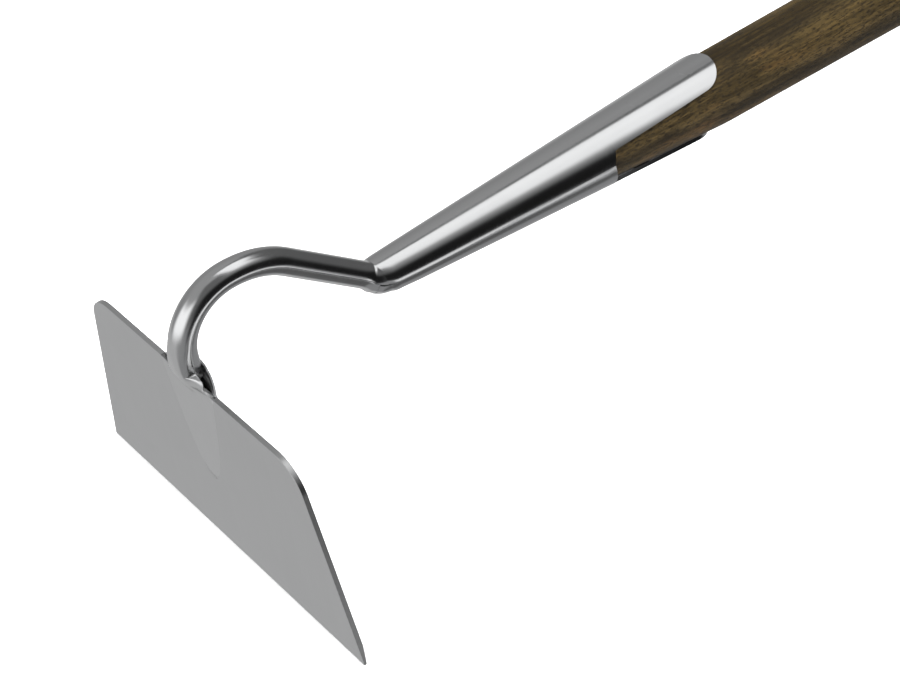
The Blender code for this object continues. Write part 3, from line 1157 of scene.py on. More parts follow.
@dataclass
class Head:
    """The pressed steel head: front, rear and lower pressings and the dished tongue."""

    finish: bpy.types.Material
    slot: str
    line: HeadLine
    sheet: float = 0.0015
    columns: int = 40
    tongue_half_width: float = 0.016
    tongue_length: float = 0.048
    flare_half_width: float = 0.0098
    flare_top: float = 0.0850
    flare_foot: float = 0.0803
    flare_roundness: float = 2.5
    flare_sheet: float = 0.0008
    bulge_top: float = 0.0878
    bulge_foot: float = 0.0760
    boxiness: float = 1.6
    boxy_below: float = 0.0960
    heel_power: float = 1.9
    rear_foot: float = 0.0815
    lip_start: float = 0.3
    lip_step: float = 0.0004
    lip_length: float = 0.0045
    lip_ease: tuple[float, float] = (0.0, 0.6)
    lip_steps: int = 40
    lip_overlap: int = 3
    seam_gap: float = 0.00006
    rounding: float = 0.0003
    rear_rounding: float = 0.00024
    strap_shortfall: float = 0.003
    tongue_tip_share: float = 0.3
    tongue_arch: float = 0.96
    tongue_steps: int = 20
    flare_steps: int = 40
    flare_past_top: float = 0.0002
    neck_past_top: float = 0.0004
    aside_power: float = 1.3
    flat_beside: tuple[float, float] = (1.05, 1.5)
    flange_power: float = 6.0

    def spread(self) -> np.ndarray:
        """Places across a pressing, from -1 at one edge to 1 at the other."""
        return np.linspace(-1.0, 1.0, 2 * self.columns + 1)

    def ring(self, station: Station, angles: np.ndarray, extra: float = 0.0) -> np.ndarray:
        """Points round a station, at angles from its outer side towards +X.

        Args:
            station: Where on the line.
            angles: The angles.
            extra: How far beyond the station's radius.

        Returns:
            The points.
        """
        up = outward(station.angle)
        round_it = np.outer(np.cos(angles), up) + np.outer(np.sin(angles), ACROSS)
        below = station.radius * (1.0 - np.cos(angles)) * station.slant
        slanted = np.outer(below, heading(station.angle))
        return station.centre + round_it * (station.radius + extra) + slanted

    def squareness(self, z: np.ndarray) -> np.ndarray:
        """Power of sine and cosine in the neck's section: 1 for a circle, less for a round box."""
        return 2.0 / (2.0 + self.boxiness * smooth_step(z, self.boxy_below, self.flare_top))

    def foot_rows(self) -> list[np.ndarray]:
        """Rows of the front pressing from the tongue's point up to the round neck.

        Returns:
            Rows of points on the outer face.
        """
        across = self.spread()
        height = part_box("blade")[1].z
        apex = height - self.tongue_length
        tip = self.tongue_tip_share
        rows = []
        for edge in np.linspace(tip, 1.0, self.tongue_steps):
            rise = (height - apex) * (edge - tip) / (1.0 - tip)
            middle = apex + rise * self.tongue_arch
            side = apex + self.tongue_length * edge**2
            z = middle + (side - middle) * across**2
            rows.append(self.foot_row(across, z, self.tongue_half_width * edge))
        neck = self.line.neck_radius
        for z in np.linspace(height, self.bulge_top + self.flare_past_top, self.flare_steps):
            rise = min((z - height) / (self.flare_top - height), 1.0)
            bulge = (1.0 - rise**self.flare_roundness) ** (1.0 / self.flare_roundness)
            half = neck + (self.flare_half_width - neck) * bulge
            rows.append(self.foot_row(across, np.full_like(across, z), half))
        return rows

    def foot_row(self, across: np.ndarray, z: np.ndarray, half: float) -> np.ndarray:
        """One row of the front pressing, between the flat tongue and the round neck.

        Args:
            across: Places across the pressing, from -1 to 1.
            z: Height of each point.
            half: Half the width of the flat outline at this row.

        Returns:
            The points of the row.
        """
        share = np.abs(across)
        aside = (half * share / self.flare_half_width) ** self.aside_power
        top = self.bulge_top + (self.flare_top - self.bulge_top) * aside
        foot = self.bulge_foot + (self.flare_foot - self.bulge_foot) * aside
        flat = np.clip((top - z) / (top - foot), 0.0, 1.0) ** self.heel_power
        flat = flat + (1.0 - flat) * smooth_step(aside, *self.flat_beside)
        angle = share * math.pi / 2
        radius = self.line.neck_radius
        power = self.squareness(z)
        round_x = radius * np.sin(angle) ** power
        round_y = self.line.neck_y - radius * np.abs(np.cos(angle)) ** power
        flange = (half - radius) * (1.0 - flat) * share**self.flange_power
        x = np.sign(across) * (round_x + (half * share - round_x) * flat + flange)
        y = round_y + (self.line.front_y - round_y) * flat
        return np.stack([x, y, z], axis=1)

    def socket_rows(self, edge: SocketEdge, under: bool) -> list[np.ndarray]:
        """Rows of one half of the socket and its strap.

        Args:
            edge: The side edge of this half.
            under: Whether this is the lower half, which starts with the end of the lip.

        Returns:
            Rows of points on the outer face, from -X to +X.
        """
        across = self.spread()
        side = math.pi if under else 0.0
        step = self.lip_step if under else 0.0
        fold_end = self.line.bend_at + self.line.corner_past_bend
        rows = []
        for middle, at, angle in edge.rows(self.line):
            turned = angle - self.seam_gap / self.line.socket_end_radius
            lip = step * float(smooth_step(at - fold_end, self.lip_length, 0.0))
            row = []
            for u in across:
                station = self.line.socket(middle + (at - middle) * u**2)
                row.append(self.ring(station, np.array([side + turned * u]), lip)[0])
            rows.append(np.array(row))
        return rows

    def boxy_ring(self, station: Station, across: np.ndarray) -> np.ndarray:
        """Front half of an upright neck's section, which is a round box near its foot.

        Args:
            station: Where on the line.
            across: Places across the pressing, from -1 to 1.

        Returns:
            The points.
        """
        angles = across * (math.pi / 2 - self.seam_gap / self.line.neck_radius)
        power = float(self.squareness(station.centre[2]))
        sine, cosine = np.abs(np.sin(angles)) ** power, np.cos(angles) ** power
        turned = np.sign(across) * np.arctan2(sine, cosine)
        ring = self.ring(station, turned) - station.centre
        return station.centre + ring * np.hypot(sine, cosine)[:, None]

    def front_rows(self, edge: SocketEdge) -> list[np.ndarray]:
        """Rows of the front pressing from the tongue's point to the tip of the top strap.

        Args:
            edge: Side edge of the top half of the socket.

        Returns:
            Rows of points on the outer face, from -X to +X.
        """
        across = self.spread()
        gap = self.seam_gap / self.line.neck_radius
        rows = self.foot_rows()
        for station in self.line.neck(self.bulge_top + self.neck_past_top):
            if station.angle > 0.0:
                rows.append(self.boxy_ring(station, across))
            else:
                rows.append(self.ring(station, across * (math.pi / 2 - gap)))
        fan = self.line.fan()
        for share, station in zip(np.linspace(0.0, 1.0, len(fan)), fan):
            seam = math.pi / 2 + (edge.seam_at_bend - math.pi / 2) * share
            rows.append(self.ring(station, across * (seam - gap)))
        return rows + self.socket_rows(edge, under=False)

    def front_pressing(self) -> bpy.types.Object:
        """Builds the front pressing: tongue, front of the neck, top of the socket and strap.

        Returns:
            The finished piece.
        """
        edge = SocketEdge(
            seam_at_bend=math.radians(95.0),
            seam_at_cleft=math.radians(82.0),
            cleft_corner=math.radians(60.0),
            strap_root=math.radians(57.5),
            strap_end=math.radians(47.0),
            tip_at=self.line.strap_tip_at,
        )
        outer = np.array(self.front_rows(edge))
        low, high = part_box("blade")
        edge_height = outer[:, 0, 2]
        beside_blade = np.logical_and.accumulate(edge_height <= high.z + MERGE)

        # The flare is rolled thinner. Further on the head comes down again, at its full thickness.
        thinned = smooth_step(edge_height, self.boxy_below, self.flare_top)
        thinned = np.minimum.accumulate(thinned)
        thickness = self.sheet + (self.flare_sheet - self.sheet) * thinned
        thickness = np.where(beside_blade, high.y - low.y, thickness)
        inner = outer - grid_normals(outer) * thickness[:, None, None]
        weights = RimWeights(sides=np.where(beside_blade, 0.0, 1.0), start=0.0)
        piece = new_piece("front_pressing", shell_mesh("front_pressing", outer, inner, weights))
        round_edges(piece, self.rounding)
        return dress(piece, self.finish, self.slot, "front_shell")

    def neck_rear(self) -> bpy.types.Object:
        """Builds the rear half of the neck, from inside the dished tongue to under the lip.

        Returns:
            The finished piece.
        """
        fan = self.line.fan()
        covered = round(len(fan) * self.lip_start) + self.lip_overlap
        stations = self.line.neck(self.rear_foot) + fan[:covered]
        half = math.pi / 2 - self.seam_gap / self.line.neck_radius
        angles = math.pi + self.spread() * half
        outer = np.array([self.ring(station, angles) for station in stations])
        inner = outer - grid_normals(outer) * self.sheet
        weights = RimWeights(sides=np.ones(len(outer)))
        piece = new_piece("neck_rear_half", shell_mesh("neck_rear_half", outer, inner, weights))
        round_edges(piece, self.rear_rounding)
        return dress(piece, self.finish, self.slot, "neck_rear_shell")

    def lower_pressing(self) -> bpy.types.Object:
        """Builds the lower pressing: the lip under the bend, the socket's underside, its strap.

        Returns:
            The finished piece.
        """
        edge = SocketEdge(
            seam_at_bend=math.radians(85.0),
            seam_at_cleft=math.radians(98.0),
            cleft_corner=math.radians(60.0),
            strap_root=math.radians(34.0),
            strap_end=math.radians(28.0),
            tip_at=self.line.strap_tip_at - self.strap_shortfall,
        )
        outer = np.array(self.lip_rows(edge) + self.socket_rows(edge, under=True))
        inner = outer - grid_normals(outer) * self.sheet
        weights = RimWeights(sides=np.ones(len(outer)))
        piece = new_piece("lower_pressing", shell_mesh("lower_pressing", outer, inner, weights))
        round_edges(piece, self.rounding)
        return dress(piece, self.finish, self.slot, "socket_lower_shell")

    def lip_rows(self, edge: SocketEdge) -> list[np.ndarray]:
        """Rows of the lip, which wraps the rear half of the neck under the bend.

        Args:
            edge: The side edge of the lower half of the socket.

        Returns:
            Rows of points on the outer face, from -X to +X.
        """
        across = self.spread()
        fan = self.line.fan(self.lip_steps)
        rows = []
        for share, station in zip(np.linspace(0.0, 1.0, len(fan)), fan):
            if share < self.lip_start:
                continue
            extra = self.lip_step * float(smooth_step(share, *self.lip_ease))
            turned = edge.seam_at_bend - self.seam_gap / station.radius
            rows.append(self.ring(station, math.pi + across * turned, extra))
        return rows

    def dished_tongue(self) -> bpy.types.Object:
        """Builds the dished tongue that backs the joint, open at the top behind the neck.

        Returns:
            The finished piece.
        """
        outer, inner = DishedTongue(self.sheet).faces(self.spread())
        weights = RimWeights(sides=np.ones(len(outer)))
        piece = new_piece("dished_tongue", shell_mesh("dished_tongue", outer, inner, weights))
        round_edges(piece, self.rear_rounding)
        return dress(piece, self.finish, self.slot, "neck_rear_shell")


@dataclass
class DishedTongue:
    """A slice of a wide, leaning cylinder on the blade's back, with an arched rim."""

    sheet: float
    radius: float = 0.032
    lean: float = math.radians(5.0)
    length: float = 0.048
    rim_half_width: float = 0.0157
    rim_rise: float = 0.0042
    rim_narrowing: float = 0.6
    rim_power: float = 1.3
    rim_sheet: float = 0.0007
    least_depth: float = 0.0002
    point_lift: float = 0.004
    steps: int = 39
    rim_steps: int = 21
    edge_zone: tuple[float, float] = (-0.0002, 0.0004)
    clearance: float = 0.00002

    def depth(self, x: np.ndarray, z: np.ndarray) -> np.ndarray:
        """How far the outer face stands behind the blade's back.

        Args:
            x: Places across the tongue.
            z: Heights.

        Returns:
            The depths, below 0 where the cylinder lies in front of the blade's back.
        """
        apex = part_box("blade")[1].z - self.length
        lean = (z - apex) * math.tan(self.lean)
        return lean - (self.radius - np.sqrt(self.radius**2 - x**2))

    def faces(self, across: np.ndarray) -> tuple[np.ndarray, np.ndarray]:
        """Grids of the outer face and of the face towards the blade.

        Args:
            across: Places across the tongue, from -1 to 1.

        Returns:
            The outer and the inner grid.
        """
        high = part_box("blade")[1]
        grid = np.array(self.rows(across))
        depth = self.depth(grid[..., 0], grid[..., 2])
        outer, inner = grid.copy(), grid.copy()
        outer[..., 1] = high.y + np.maximum(depth, self.least_depth)
        above = smooth_step(grid[..., 2] - high.z, *self.edge_zone)
        sheet = self.sheet - above * (self.sheet - self.rim_sheet)
        floor = high.y + self.clearance - above * self.sheet
        inner[..., 1] = np.maximum(outer[..., 1] - sheet, floor)
        return outer[:, ::-1], inner[:, ::-1]

    def rows(self, across: np.ndarray) -> list[np.ndarray]:
        """Rows of the outline in X and Z, from the tongue's point to the top of its rim.

        Args:
            across: Places across the tongue, from -1 to 1.

        Returns:
            Rows of points, all in one plane.
        """
        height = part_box("blade")[1].z
        apex = height - self.length
        rows = []
        for step in np.linspace(0.0, 1.0, self.steps + 1):
            side = apex + self.point_lift + (self.length - self.point_lift) * step
            rows.append(self.row(across, self.half_width(side), apex + self.length * step, side))
        for step in np.linspace(0.0, 1.0, self.rim_steps + 1)[1:]:
            width = 1.0 - self.rim_narrowing * step
            side = height + self.rim_rise * (1.0 - width**self.rim_power)
            middle = height + self.rim_rise * step
            rows.append(self.row(across, self.rim_half_width * width, middle, side))
        return rows

    def row(self, across: np.ndarray, half: float, middle: float, side: float) -> np.ndarray:
        """One arched row of the outline.

        Args:
            across: Places across the tongue, from -1 to 1.
            half: Half its width.
            middle: Height in the middle.
            side: Height at both sides.

        Returns:
            The points of the row.
        """
        z = middle + (side - middle) * across**2
        return np.stack([half * across, np.zeros_like(across), z], axis=1)

    def half_width(self, z: float) -> float:
        """Half the width of the outline, where the face meets the blade's back.

        Args:
            z: The height.

        Returns:
            Half the width there.
        """
        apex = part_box("blade")[1].z - self.length
        rise = (z - apex) * math.tan(self.lean)
        return math.sqrt(2 * self.radius * rise - rise**2)


# ---------------------------------------------------------------------------------------------
# Geometry Nodes: the shaft and the rivets
# ---------------------------------------------------------------------------------------------


class ShapeTree:
    """A Geometry Nodes tree with named inputs, written with few words."""

    def __init__(self, name: str, inputs: dict[str, object]) -> None:
        """Starts the tree.

        Args:
            name: Name of the tree.
            inputs: Input names with the value that each piece gives them.
        """
        kinds = {float: "NodeSocketFloat", int: "NodeSocketInt", tuple: "NodeSocketVector"}
        self.tree = bpy.data.node_groups.new(name, "GeometryNodeTree")
        self.values = inputs
        for label, value in inputs.items():
            kind = kinds.get(type(value), "NodeSocketMaterial")
            self.tree.interface.new_socket(label, in_out="INPUT", socket_type=kind)
        self.tree.interface.new_socket(
            "Geometry", in_out="OUTPUT", socket_type="NodeSocketGeometry"
        )
        self.pen = NodePen(self.tree)
        self.given = self.pen.node("NodeGroupInput").outputs
        self.result = self.pen.node("NodeGroupOutput")

    def vector(self, x: object, y: object, z: object) -> bpy.types.NodeSocket:
        """Joins three numbers into a vector.

        Args:
            x: Number or socket.
            y: Number or socket.
            z: Number or socket.

        Returns:
            The vector.
        """
        made = self.pen.node("ShaderNodeCombineXYZ")
        for socket, source in zip(made.inputs, (x, y, z)):
            self.pen.feed(socket, source)
        return made.outputs[0]

    def ramp(self, value: object, a: object, b: object, low: object, high: object) -> object:
        """Goes from low at a to high at b, and stays level outside.

        Args:
            value: The value to follow.
            a: Where the ramp starts.
            b: Where it ends.
            low: Its result at the start.
            high: Its result at the end.

        Returns:
            The output.
        """
        made = self.pen.node("ShaderNodeMapRange")
        labels = ("Value", "From Min", "From Max", "To Min", "To Max")
        for label, source in zip(labels, (value, a, b, low, high)):
            self.pen.feed(made.inputs[label], source)
        return made.outputs["Result"]

    def moved_to(self, geometry: object, position: object) -> bpy.types.NodeSocket:
        """Puts every point at a position.

        Args:
            geometry: The geometry.
            position: Where its points go.

        Returns:
            The moved geometry.
        """
        made = self.pen.node("GeometryNodeSetPosition")
        self.pen.feed(made.inputs["Geometry"], geometry)
        self.pen.feed(made.inputs["Position"], position)
        return made.outputs[0]

    def laid(self, geometry: object) -> bpy.types.NodeSocket:
        """Moves the geometry to Start and turns it by Turn.

        Args:
            geometry: The geometry, along +Y from the origin.

        Returns:
            The moved geometry.
        """
        made = self.pen.node("GeometryNodeTransform")
        self.pen.feed(made.inputs["Geometry"], geometry)
        self.pen.feed(made.inputs["Translation"], self.given["Start"])
        self.pen.feed(made.inputs["Rotation"], self.given["Turn"])
        return made.outputs[0]

    def finish(self, geometry: object) -> None:
        """Realizes the geometry, gives it the material and smooth faces, and ends the tree.

        Args:
            geometry: The geometry to end with.
        """
        for kind in (
            "GeometryNodeSetShadeSmooth",
            "GeometryNodeRealizeInstances",
            "GeometryNodeSetMaterial",
        ):
            made = self.pen.node(kind)
            self.pen.feed(made.inputs["Geometry"], geometry)
            geometry = made.outputs[0]
        self.pen.feed(made.inputs["Material"], self.given["Finish"])
        self.pen.feed(self.result.inputs["Geometry"], geometry)

    def make(self, name: str, crease: float) -> bpy.types.Object:
        """Runs the tree and keeps its result as a plain mesh.

        Args:
            name: Name of the piece.
            crease: Edges that turn further than this stay sharp.

        Returns:
            The piece, with its faces outwards.
        """
        piece = new_piece(name, bpy.data.meshes.new(name))
        modifier = piece.modifiers.new("shape", "NODES")
        modifier.node_group = self.tree
        for item in self.tree.interface.items_tree:
            if item.item_type == "SOCKET" and item.in_out == "INPUT":
                modifier[item.identifier] = self.values[item.name]
        settle(piece)
        bm = bmesh.new()
        bm.from_mesh(piece.data)
        bmesh.ops.remove_doubles(bm, verts=bm.verts, dist=MERGE)
        bmesh.ops.recalc_face_normals(bm, faces=bm.faces)
        bm.to_mesh(piece.data)
        bm.free()
        piece.data.shade_smooth()
        piece.data.set_sharp_from_angle(angle=crease)
        return piece


@dataclass
class Shaft:
    """The turned ash shaft: a tapered nose in the socket, a slow swell and a rounded butt."""

    finish: bpy.types.Material
    slot: str
    line: HeadLine
    nose_at: float = 0.1065
    nose_radius: float = 0.0064
    strap_radius: float = 0.0141
    full_radius: float = 0.0165
    swells_until: float = 0.480
    butt_round: float = 0.008
    wobble: float = 0.00022
    wobble_scale: float = 9.0
    wobble_seed: float = 3.0
    rings: int = 360
    sides: int = 72
    crease: float = math.radians(50.0)

    def length(self) -> float:
        """Length of the shaft, so that its butt ends where the CAD shaft does."""
        reach = (self.line.shaft_height - self.full_radius) / math.tan(self.line.shaft_fall)
        return reach + self.butt_round - self.nose_at

    def build(self) -> bpy.types.Object:
        """Builds the shaft as a turned grid of rings.

        Returns:
            The finished piece.
        """
        start = self.line.shaft_point(self.nose_at)
        tree = ShapeTree(
            "turned_shaft",
            {
                "Length": self.length(),
                "Nose Radius": self.nose_radius,
                "Strap Radius": self.strap_radius,
                "Full Radius": self.full_radius,
                "Strap Distance": self.line.strap_tip_at - self.nose_at,
                "Swell Distance": self.swells_until - self.nose_at,
                "Butt Round": self.butt_round,
                "Wobble": self.wobble,
                "Start": tuple(float(c) for c in start),
                "Turn": (-self.line.shaft_fall, 0.0, 0.0),
                "Rings": self.rings,
                "Sides": self.sides + 1,
                "Finish": self.finish,
            },
        )
        pen, given = tree.pen, tree.given
        grid = pen.node("GeometryNodeMeshGrid")
        sizes = (("Size X", 1.0), ("Size Y", 1.0))
        for label, value in (*sizes, ("Vertices X", given["Rings"]), ("Vertices Y", given["Sides"])):
            pen.feed(grid.inputs[label], value)
        x, y, _ = pen.split(pen.node("GeometryNodeInputPosition").outputs[0])
        turn = pen.times(pen.sum_of(y, 0.5), 2 * math.pi)

        # Rings crowd towards both ends, where the shape turns quickly.
        eased = pen.math("COSINE", pen.times(pen.sum_of(x, 0.5), math.pi))
        along = pen.times(pen.times(pen.minus(1.0, eased), 0.5), given["Length"])
        within = pen.math("LESS_THAN", pen.math("ABSOLUTE", x), 0.5 - ALMOST)
        radius = pen.times(self.radius_along(tree, along), within)

        side = pen.times(radius, pen.math("SINE", turn))
        up = pen.times(radius, pen.math("COSINE", turn))
        merged = pen.node("GeometryNodeMergeByDistance")
        turned = tree.moved_to(grid.outputs["Mesh"], tree.vector(side, along, up))
        pen.feed(merged.inputs["Geometry"], turned)
        pen.feed(merged.inputs["Distance"], MERGE)
        tree.finish(tree.laid(merged.outputs[0]))
        piece = tree.make("ash_shaft", self.crease)
        return dress(piece, self.finish, self.slot, "shaft")

    def radius_along(self, tree: ShapeTree, along: bpy.types.NodeSocket) -> bpy.types.NodeSocket:
        """Radius of the shaft: its nose, its slow swell, hand-made wobble and rounded butt.

        Args:
            tree: Tree of the shaft.
            along: Distance from the nose.

        Returns:
            The radius there.
        """
        pen, given = tree.pen, tree.given
        nose, strap, full = given["Nose Radius"], given["Strap Radius"], given["Full Radius"]
        radius = tree.ramp(along, 0.0, given["Strap Distance"], nose, strap)
        swell = tree.ramp(along, given["Strap Distance"], given["Swell Distance"], strap, full)
        radius = pen.sum_of(radius, pen.minus(swell, strap))

        wave = pen.node("ShaderNodeTexNoise", noise_dimensions="4D")
        pen.feed(wave.inputs["Vector"], tree.vector(0.0, along, 0.0))
        pen.feed(wave.inputs["W"], self.wobble_seed)
        pen.feed(wave.inputs["Scale"], self.wobble_scale)
        wave_size = pen.times(pen.minus(wave.outputs[0], 0.5), 2.0)
        past_straps = tree.ramp(along, given["Strap Distance"], given["Swell Distance"], 0.0, 1.0)
        wave_size = pen.times(wave_size, past_straps)
        radius = pen.sum_of(radius, pen.times(wave_size, given["Wobble"]))

        butt_from = pen.minus(given["Length"], given["Butt Round"])
        share = tree.ramp(along, butt_from, given["Length"], 0.0, 1.0)
        arc = pen.math("MAXIMUM", pen.minus(1.0, pen.times(share, share)), 0.0)
        arc = pen.minus(1.0, pen.math("SQRT", arc))
        return pen.minus(radius, pen.times(arc, given["Butt Round"]))


@dataclass
class Rivets:
    """Two rivets through both straps, with heads filed flush to the round of the straps."""

    finish: bpy.types.Material
    slot: str
    line: HeadLine
    first_at: float = 0.198
    second_at: float = 0.223
    head_radius: float = 0.0036
    proud: float = 0.00005
    crease: float = math.radians(40.0)

    def build(self) -> bpy.types.Object:
        """Builds both rivets, one instance for each place.

        Returns:
            The finished piece.
        """
        first = self.line.socket(self.first_at)
        tree = ShapeTree(
            "flush_rivets",
            {
                "Count": 2,
                "Spacing": self.second_at - self.first_at,
                "Head Radius": self.head_radius,
                "Strap Radius": first.radius,
                "Strap Growth": self.line.growth,
                "Proud": self.proud,
                "Start": tuple(float(c) for c in first.centre),
                "Turn": (-self.line.socket_fall, 0.0, 0.0),
                "Finish": self.finish,
            },
        )
        pen, given = tree.pen, tree.given
        pin = pen.node("GeometryNodeMeshCylinder", fill_type="TRIANGLE_FAN")
        for label, value in (("Vertices", 40), ("Side Segments", 1), ("Fill Segments", 6)):
            pen.feed(pin.inputs[label], value)
        pen.feed(pin.inputs["Radius"], given["Head Radius"])
        pen.feed(pin.inputs["Depth"], given["Strap Radius"])
        places = pen.node("GeometryNodeMeshLine")
        pen.feed(places.inputs["Count"], given["Count"])
        pen.feed(places.inputs["Offset"], tree.vector(0.0, given["Spacing"], 0.0))
        copies = pen.node("GeometryNodeInstanceOnPoints")
        pen.feed(copies.inputs["Points"], places.outputs[0])
        pen.feed(copies.inputs["Instance"], pin.outputs["Mesh"])
        whole = pen.node("GeometryNodeRealizeInstances")
        pen.feed(whole.inputs["Geometry"], copies.outputs[0])

        # Both heads follow the round of the strap that they fill.
        x, y, z = pen.split(pen.node("GeometryNodeInputPosition").outputs[0])
        strap = pen.sum_of(given["Strap Radius"], pen.times(y, given["Strap Growth"]))
        reach = pen.sum_of(strap, given["Proud"])
        square = pen.minus(pen.times(reach, reach), pen.times(x, x))
        height = pen.times(pen.math("SQRT", square), pen.math("SIGN", z))
        fitted = tree.moved_to(whole.outputs[0], tree.vector(x, y, height))
        tree.finish(tree.laid(fitted))
        piece = tree.make("strap_rivets", self.crease)
        return dress(piece, self.finish, self.slot, "rivet_near_socket", "rivet_near_tip")


# ---------------------------------------------------------------------------------------------
# Studio
# ---------------------------------------------------------------------------------------------


@dataclass(frozen=True)
class Softbox:
    """A soft bright or dark patch of the studio, as seen from the hoe.

    Angles are in degrees: azimuth from +X towards +Y, elevation above the floor.
    """

    azimuth: float
    half_width: float
    low: float
    high: float
    glow: float
    side_softness: float = 14.0
    low_softness: float = 10.0
    high_softness: float = 10.0


@dataclass(frozen=True)
class Lamp:
    """A square soft lamp, aimed at the hoe."""

    name: str
    place: tuple[float, float, float]
    size: float
    power: float


@dataclass
class Studio:
    """The pale floor, the soft light and the camera."""

    lamps: tuple[Lamp, ...] = (
        Lamp("overhead_lamp", (0.2, 0.4, 2.6), size=3.2, power=190.0),
        Lamp("side_lamp", (2.0, 0.6, 1.4), size=1.6, power=34.0),
    )
    lamp_target: tuple[float, float, float] = (0.0, 0.2, 0.05)
    camera_place: tuple[float, float, float] = (0.5386, -0.2279, 0.5890)
    camera_view: tuple[float, float, float] = (-0.63756, 0.39328, -0.66246)
    camera_roll: float = math.radians(-9.98)
    lens: float = 92.0
    sensor_width: float = 36.0
    floor_size: float = 12.0
    floor_shade: float = 0.92
    wall_foot: tuple[float, float] = (-35.0, 5.0)
    wall_top: tuple[float, float] = (10.0, 60.0)
    ground: tuple[float, float, float] = (0.305, 0.307, 0.31)
    wall: tuple[float, float, float] = (0.31, 0.31, 0.31)
    roof: tuple[float, float, float] = (0.38, 0.38, 0.38)
    floor_drop: float = 0.0003
    boxes: tuple[Softbox, ...] = (
        Softbox(-157.0, 65.0, -90.0, -14.0, glow=0.54, side_softness=30.0, high_softness=16.0),
        Softbox(28.0, 16.0, -90.0, -46.0, glow=0.12, side_softness=14.0, high_softness=3.0),
        Softbox(-10.0, 22.0, 2.0, 62.0, glow=0.15, side_softness=18.0, low_softness=14.0),
        Softbox(-82.0, 26.0, 8.0, 30.0, glow=1.35, side_softness=26.0, low_softness=22.0,
                high_softness=18.0),
        Softbox(92.0, 28.0, -4.0, 42.0, glow=0.13, side_softness=18.0, low_softness=14.0),
        Softbox(112.0, 6.0, 40.0, 76.0, glow=0.14, side_softness=5.0),
        Softbox(69.0, 34.0, 53.0, 82.0, glow=1.3, side_softness=4.0, low_softness=9.0),
        Softbox(47.0, 12.0, 47.0, 66.0, glow=1.25, side_softness=10.0, low_softness=19.0),
        Softbox(24.0, 30.0, -24.0, 10.0, glow=0.012, side_softness=22.0, low_softness=4.0,
                high_softness=24.0),
        Softbox(18.0, 10.0, -38.0, -31.0, glow=1.2, side_softness=3.0, low_softness=3.0,
                high_softness=3.0),
    )

    def build(self) -> None:
        """Builds the floor, the lights and the camera."""
        self.lay_floor()
        self.light_world()
        self.hang_lights()
        self.place_camera()

    def lay_floor(self) -> None:
        """Lays the plain pale floor that the hoe rests on."""
        mesh = bpy.data.meshes.new("studio_floor")
        bm = bmesh.new()
        bmesh.ops.create_grid(bm, x_segments=1, y_segments=1, size=self.floor_size)
        bm.to_mesh(mesh)
        bm.free()
        floor = new_piece("studio_floor", mesh)
        floor.location.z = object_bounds()[0].z - self.floor_drop
        material, _, shader = start_material("pale_floor")
        shader["Base Color"].default_value = (*(self.floor_shade,) * 3, 1.0)
        shader["Roughness"].default_value = 1.0
        shader["Specular IOR Level"].default_value = 0.0
        floor.data.materials.append(material)
        floor.visible_glossy = False
        floor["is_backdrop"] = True

    def light_world(self) -> None:
        """Paints the studio that the steel mirrors: ground, walls, roof and soft patches."""
        world = bpy.data.worlds.new("studio")
        world.use_nodes = True
        bpy.context.scene.world = world
        pen = NodePen(world.node_tree)
        background = world.node_tree.nodes["Background"]
        x, y, z = pen.split(pen.node("ShaderNodeTexCoord").outputs["Generated"])
        elevation = pen.times(pen.math("ARCSINE", z), math.degrees(1.0))
        azimuth = pen.times(pen.math("ARCTAN2", y, x), math.degrees(1.0))
        ground, wall, roof = ((*c, 1.0) for c in (self.ground, self.wall, self.roof))
        base = pen.blend(pen.ease(elevation, *self.wall_foot), ground, wall)
        base = pen.blend(pen.ease(elevation, *self.wall_top), base, roof)
        for box in self.boxes:
            mask = self.patch(pen, box, (azimuth, elevation))
            base = pen.blend(mask, base, (box.glow, box.glow, box.glow, 1.0))
        pen.feed(background.inputs["Color"], base)
        background.inputs["Strength"].default_value = 1.0

    def patch(self, pen: NodePen, box: Softbox, view: tuple) -> bpy.types.NodeSocket:
        """Mask of a soft patch.

        Args:
            pen: Pen of the world.
            box: The patch.
            view: Azimuth and elevation of what is seen, in degrees.

        Returns:
            1 inside the patch, falling softly to 0 outside.
        """
        azimuth, elevation = view
        away = pen.math("WRAP", pen.minus(azimuth, box.azimuth), 180.0, -180.0)
        beside = pen.ease(
            pen.math("ABSOLUTE", away), box.half_width + box.side_softness, box.half_width
        )
        above = pen.ease(elevation, box.low - box.low_softness, box.low)
        below = pen.ease(elevation, box.high + box.high_softness, box.high)
        return pen.times(beside, pen.times(above, below))

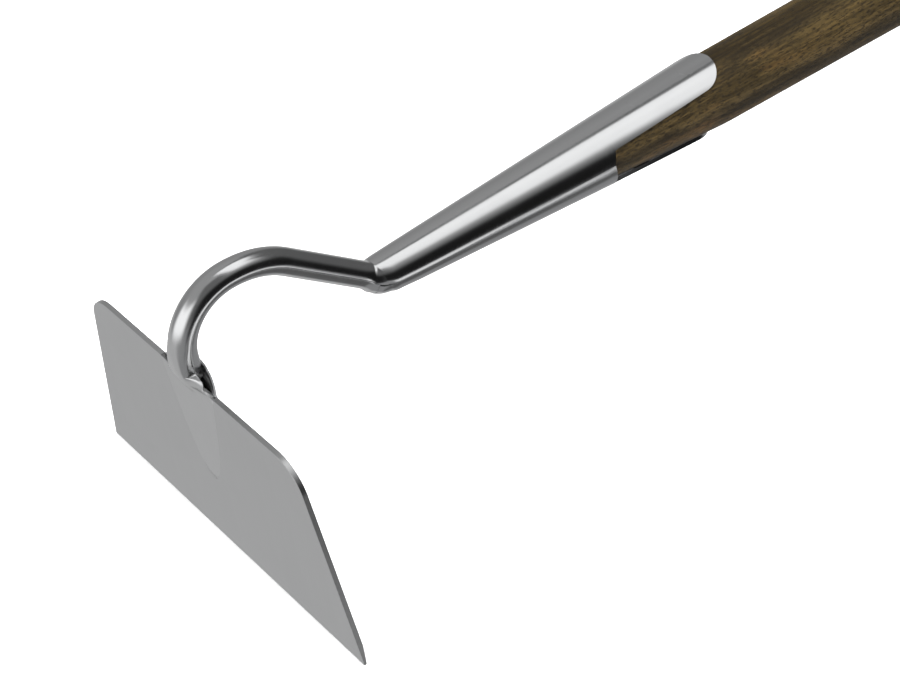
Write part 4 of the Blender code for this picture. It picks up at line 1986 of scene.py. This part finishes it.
    def hang_lights(self) -> None:
        """Hangs the broad lamps that light the floor and the wood."""
        for lamp in self.lamps:
            light = bpy.data.lights.new(lamp.name, "AREA")
            light.shape = "SQUARE"
            light.size = lamp.size
            light.energy = lamp.power
            holder = bpy.data.objects.new(lamp.name, light)
            bpy.context.scene.collection.objects.link(holder)
            holder.location = lamp.place
            aim = Vector(self.lamp_target) - Vector(lamp.place)
            holder.rotation_euler = aim.to_track_quat("-Z", "Y").to_euler()
            holder.visible_glossy = False

    def place_camera(self) -> None:
        """Places the camera above the right of the blade, rolled a little."""
        lens = bpy.data.cameras.new("camera")
        lens.lens = self.lens
        lens.sensor_width = self.sensor_width
        camera = bpy.data.objects.new("camera", lens)
        bpy.context.scene.collection.objects.link(camera)
        turned = Vector(self.camera_view).to_track_quat("-Z", "Y").to_matrix().to_4x4()
        turned = turned @ Matrix.Rotation(self.camera_roll, 4, "Z")
        camera.matrix_world = Matrix.Translation(self.camera_place) @ turned
        bpy.context.scene.camera = camera
        bpy.context.scene.view_settings.view_transform = "Standard"


def report(piece: bpy.types.Object) -> None:
    """Logs a finished piece with the number of its faces."""
    log.info("%s: %d faces", piece.name, len(piece.data.polygons))


def main() -> None:
    """Builds the hoe's pieces and the studio."""
    logging.basicConfig(level=logging.INFO, format="%(name)s: %(message)s")
    groups = {"brushed_lines": brushed_lines_group(), "handling": handling_group()}
    blade_steel = SteelFinish(
        name="satin_blade_steel",
        slot="blade_steel",
        colour=(0.62, 0.625, 0.63),
        roughness=0.33,
        brush=Brush.UP_THE_BLADE,
        line_depth=0.00002,
    )
    head_steel = SteelFinish(
        name="polished_head_steel",
        slot="head_steel",
        colour=(0.66, 0.665, 0.67),
        roughness=0.17,
        brush=Brush.ALONG_THE_HEAD,
        line_depth=0.00001,
        satin_foot=True,
    )
    ash = AshFinish()
    blade_finish, head_finish = blade_steel.make(groups), head_steel.make(groups)
    line = HeadLine()

    blade = Blade(blade_finish, blade_steel.slot)
    report(blade.build())
    head = Head(head_finish, head_steel.slot, line)
    report(head.front_pressing())
    report(head.neck_rear())
    report(head.dished_tongue())
    report(head.lower_pressing())
    report(Rivets(head_finish, head_steel.slot, line).build())
    report(Shaft(ash.make(groups), ash.slot, line).build())
    Studio().build()


if __name__ == "__main__":
    main()
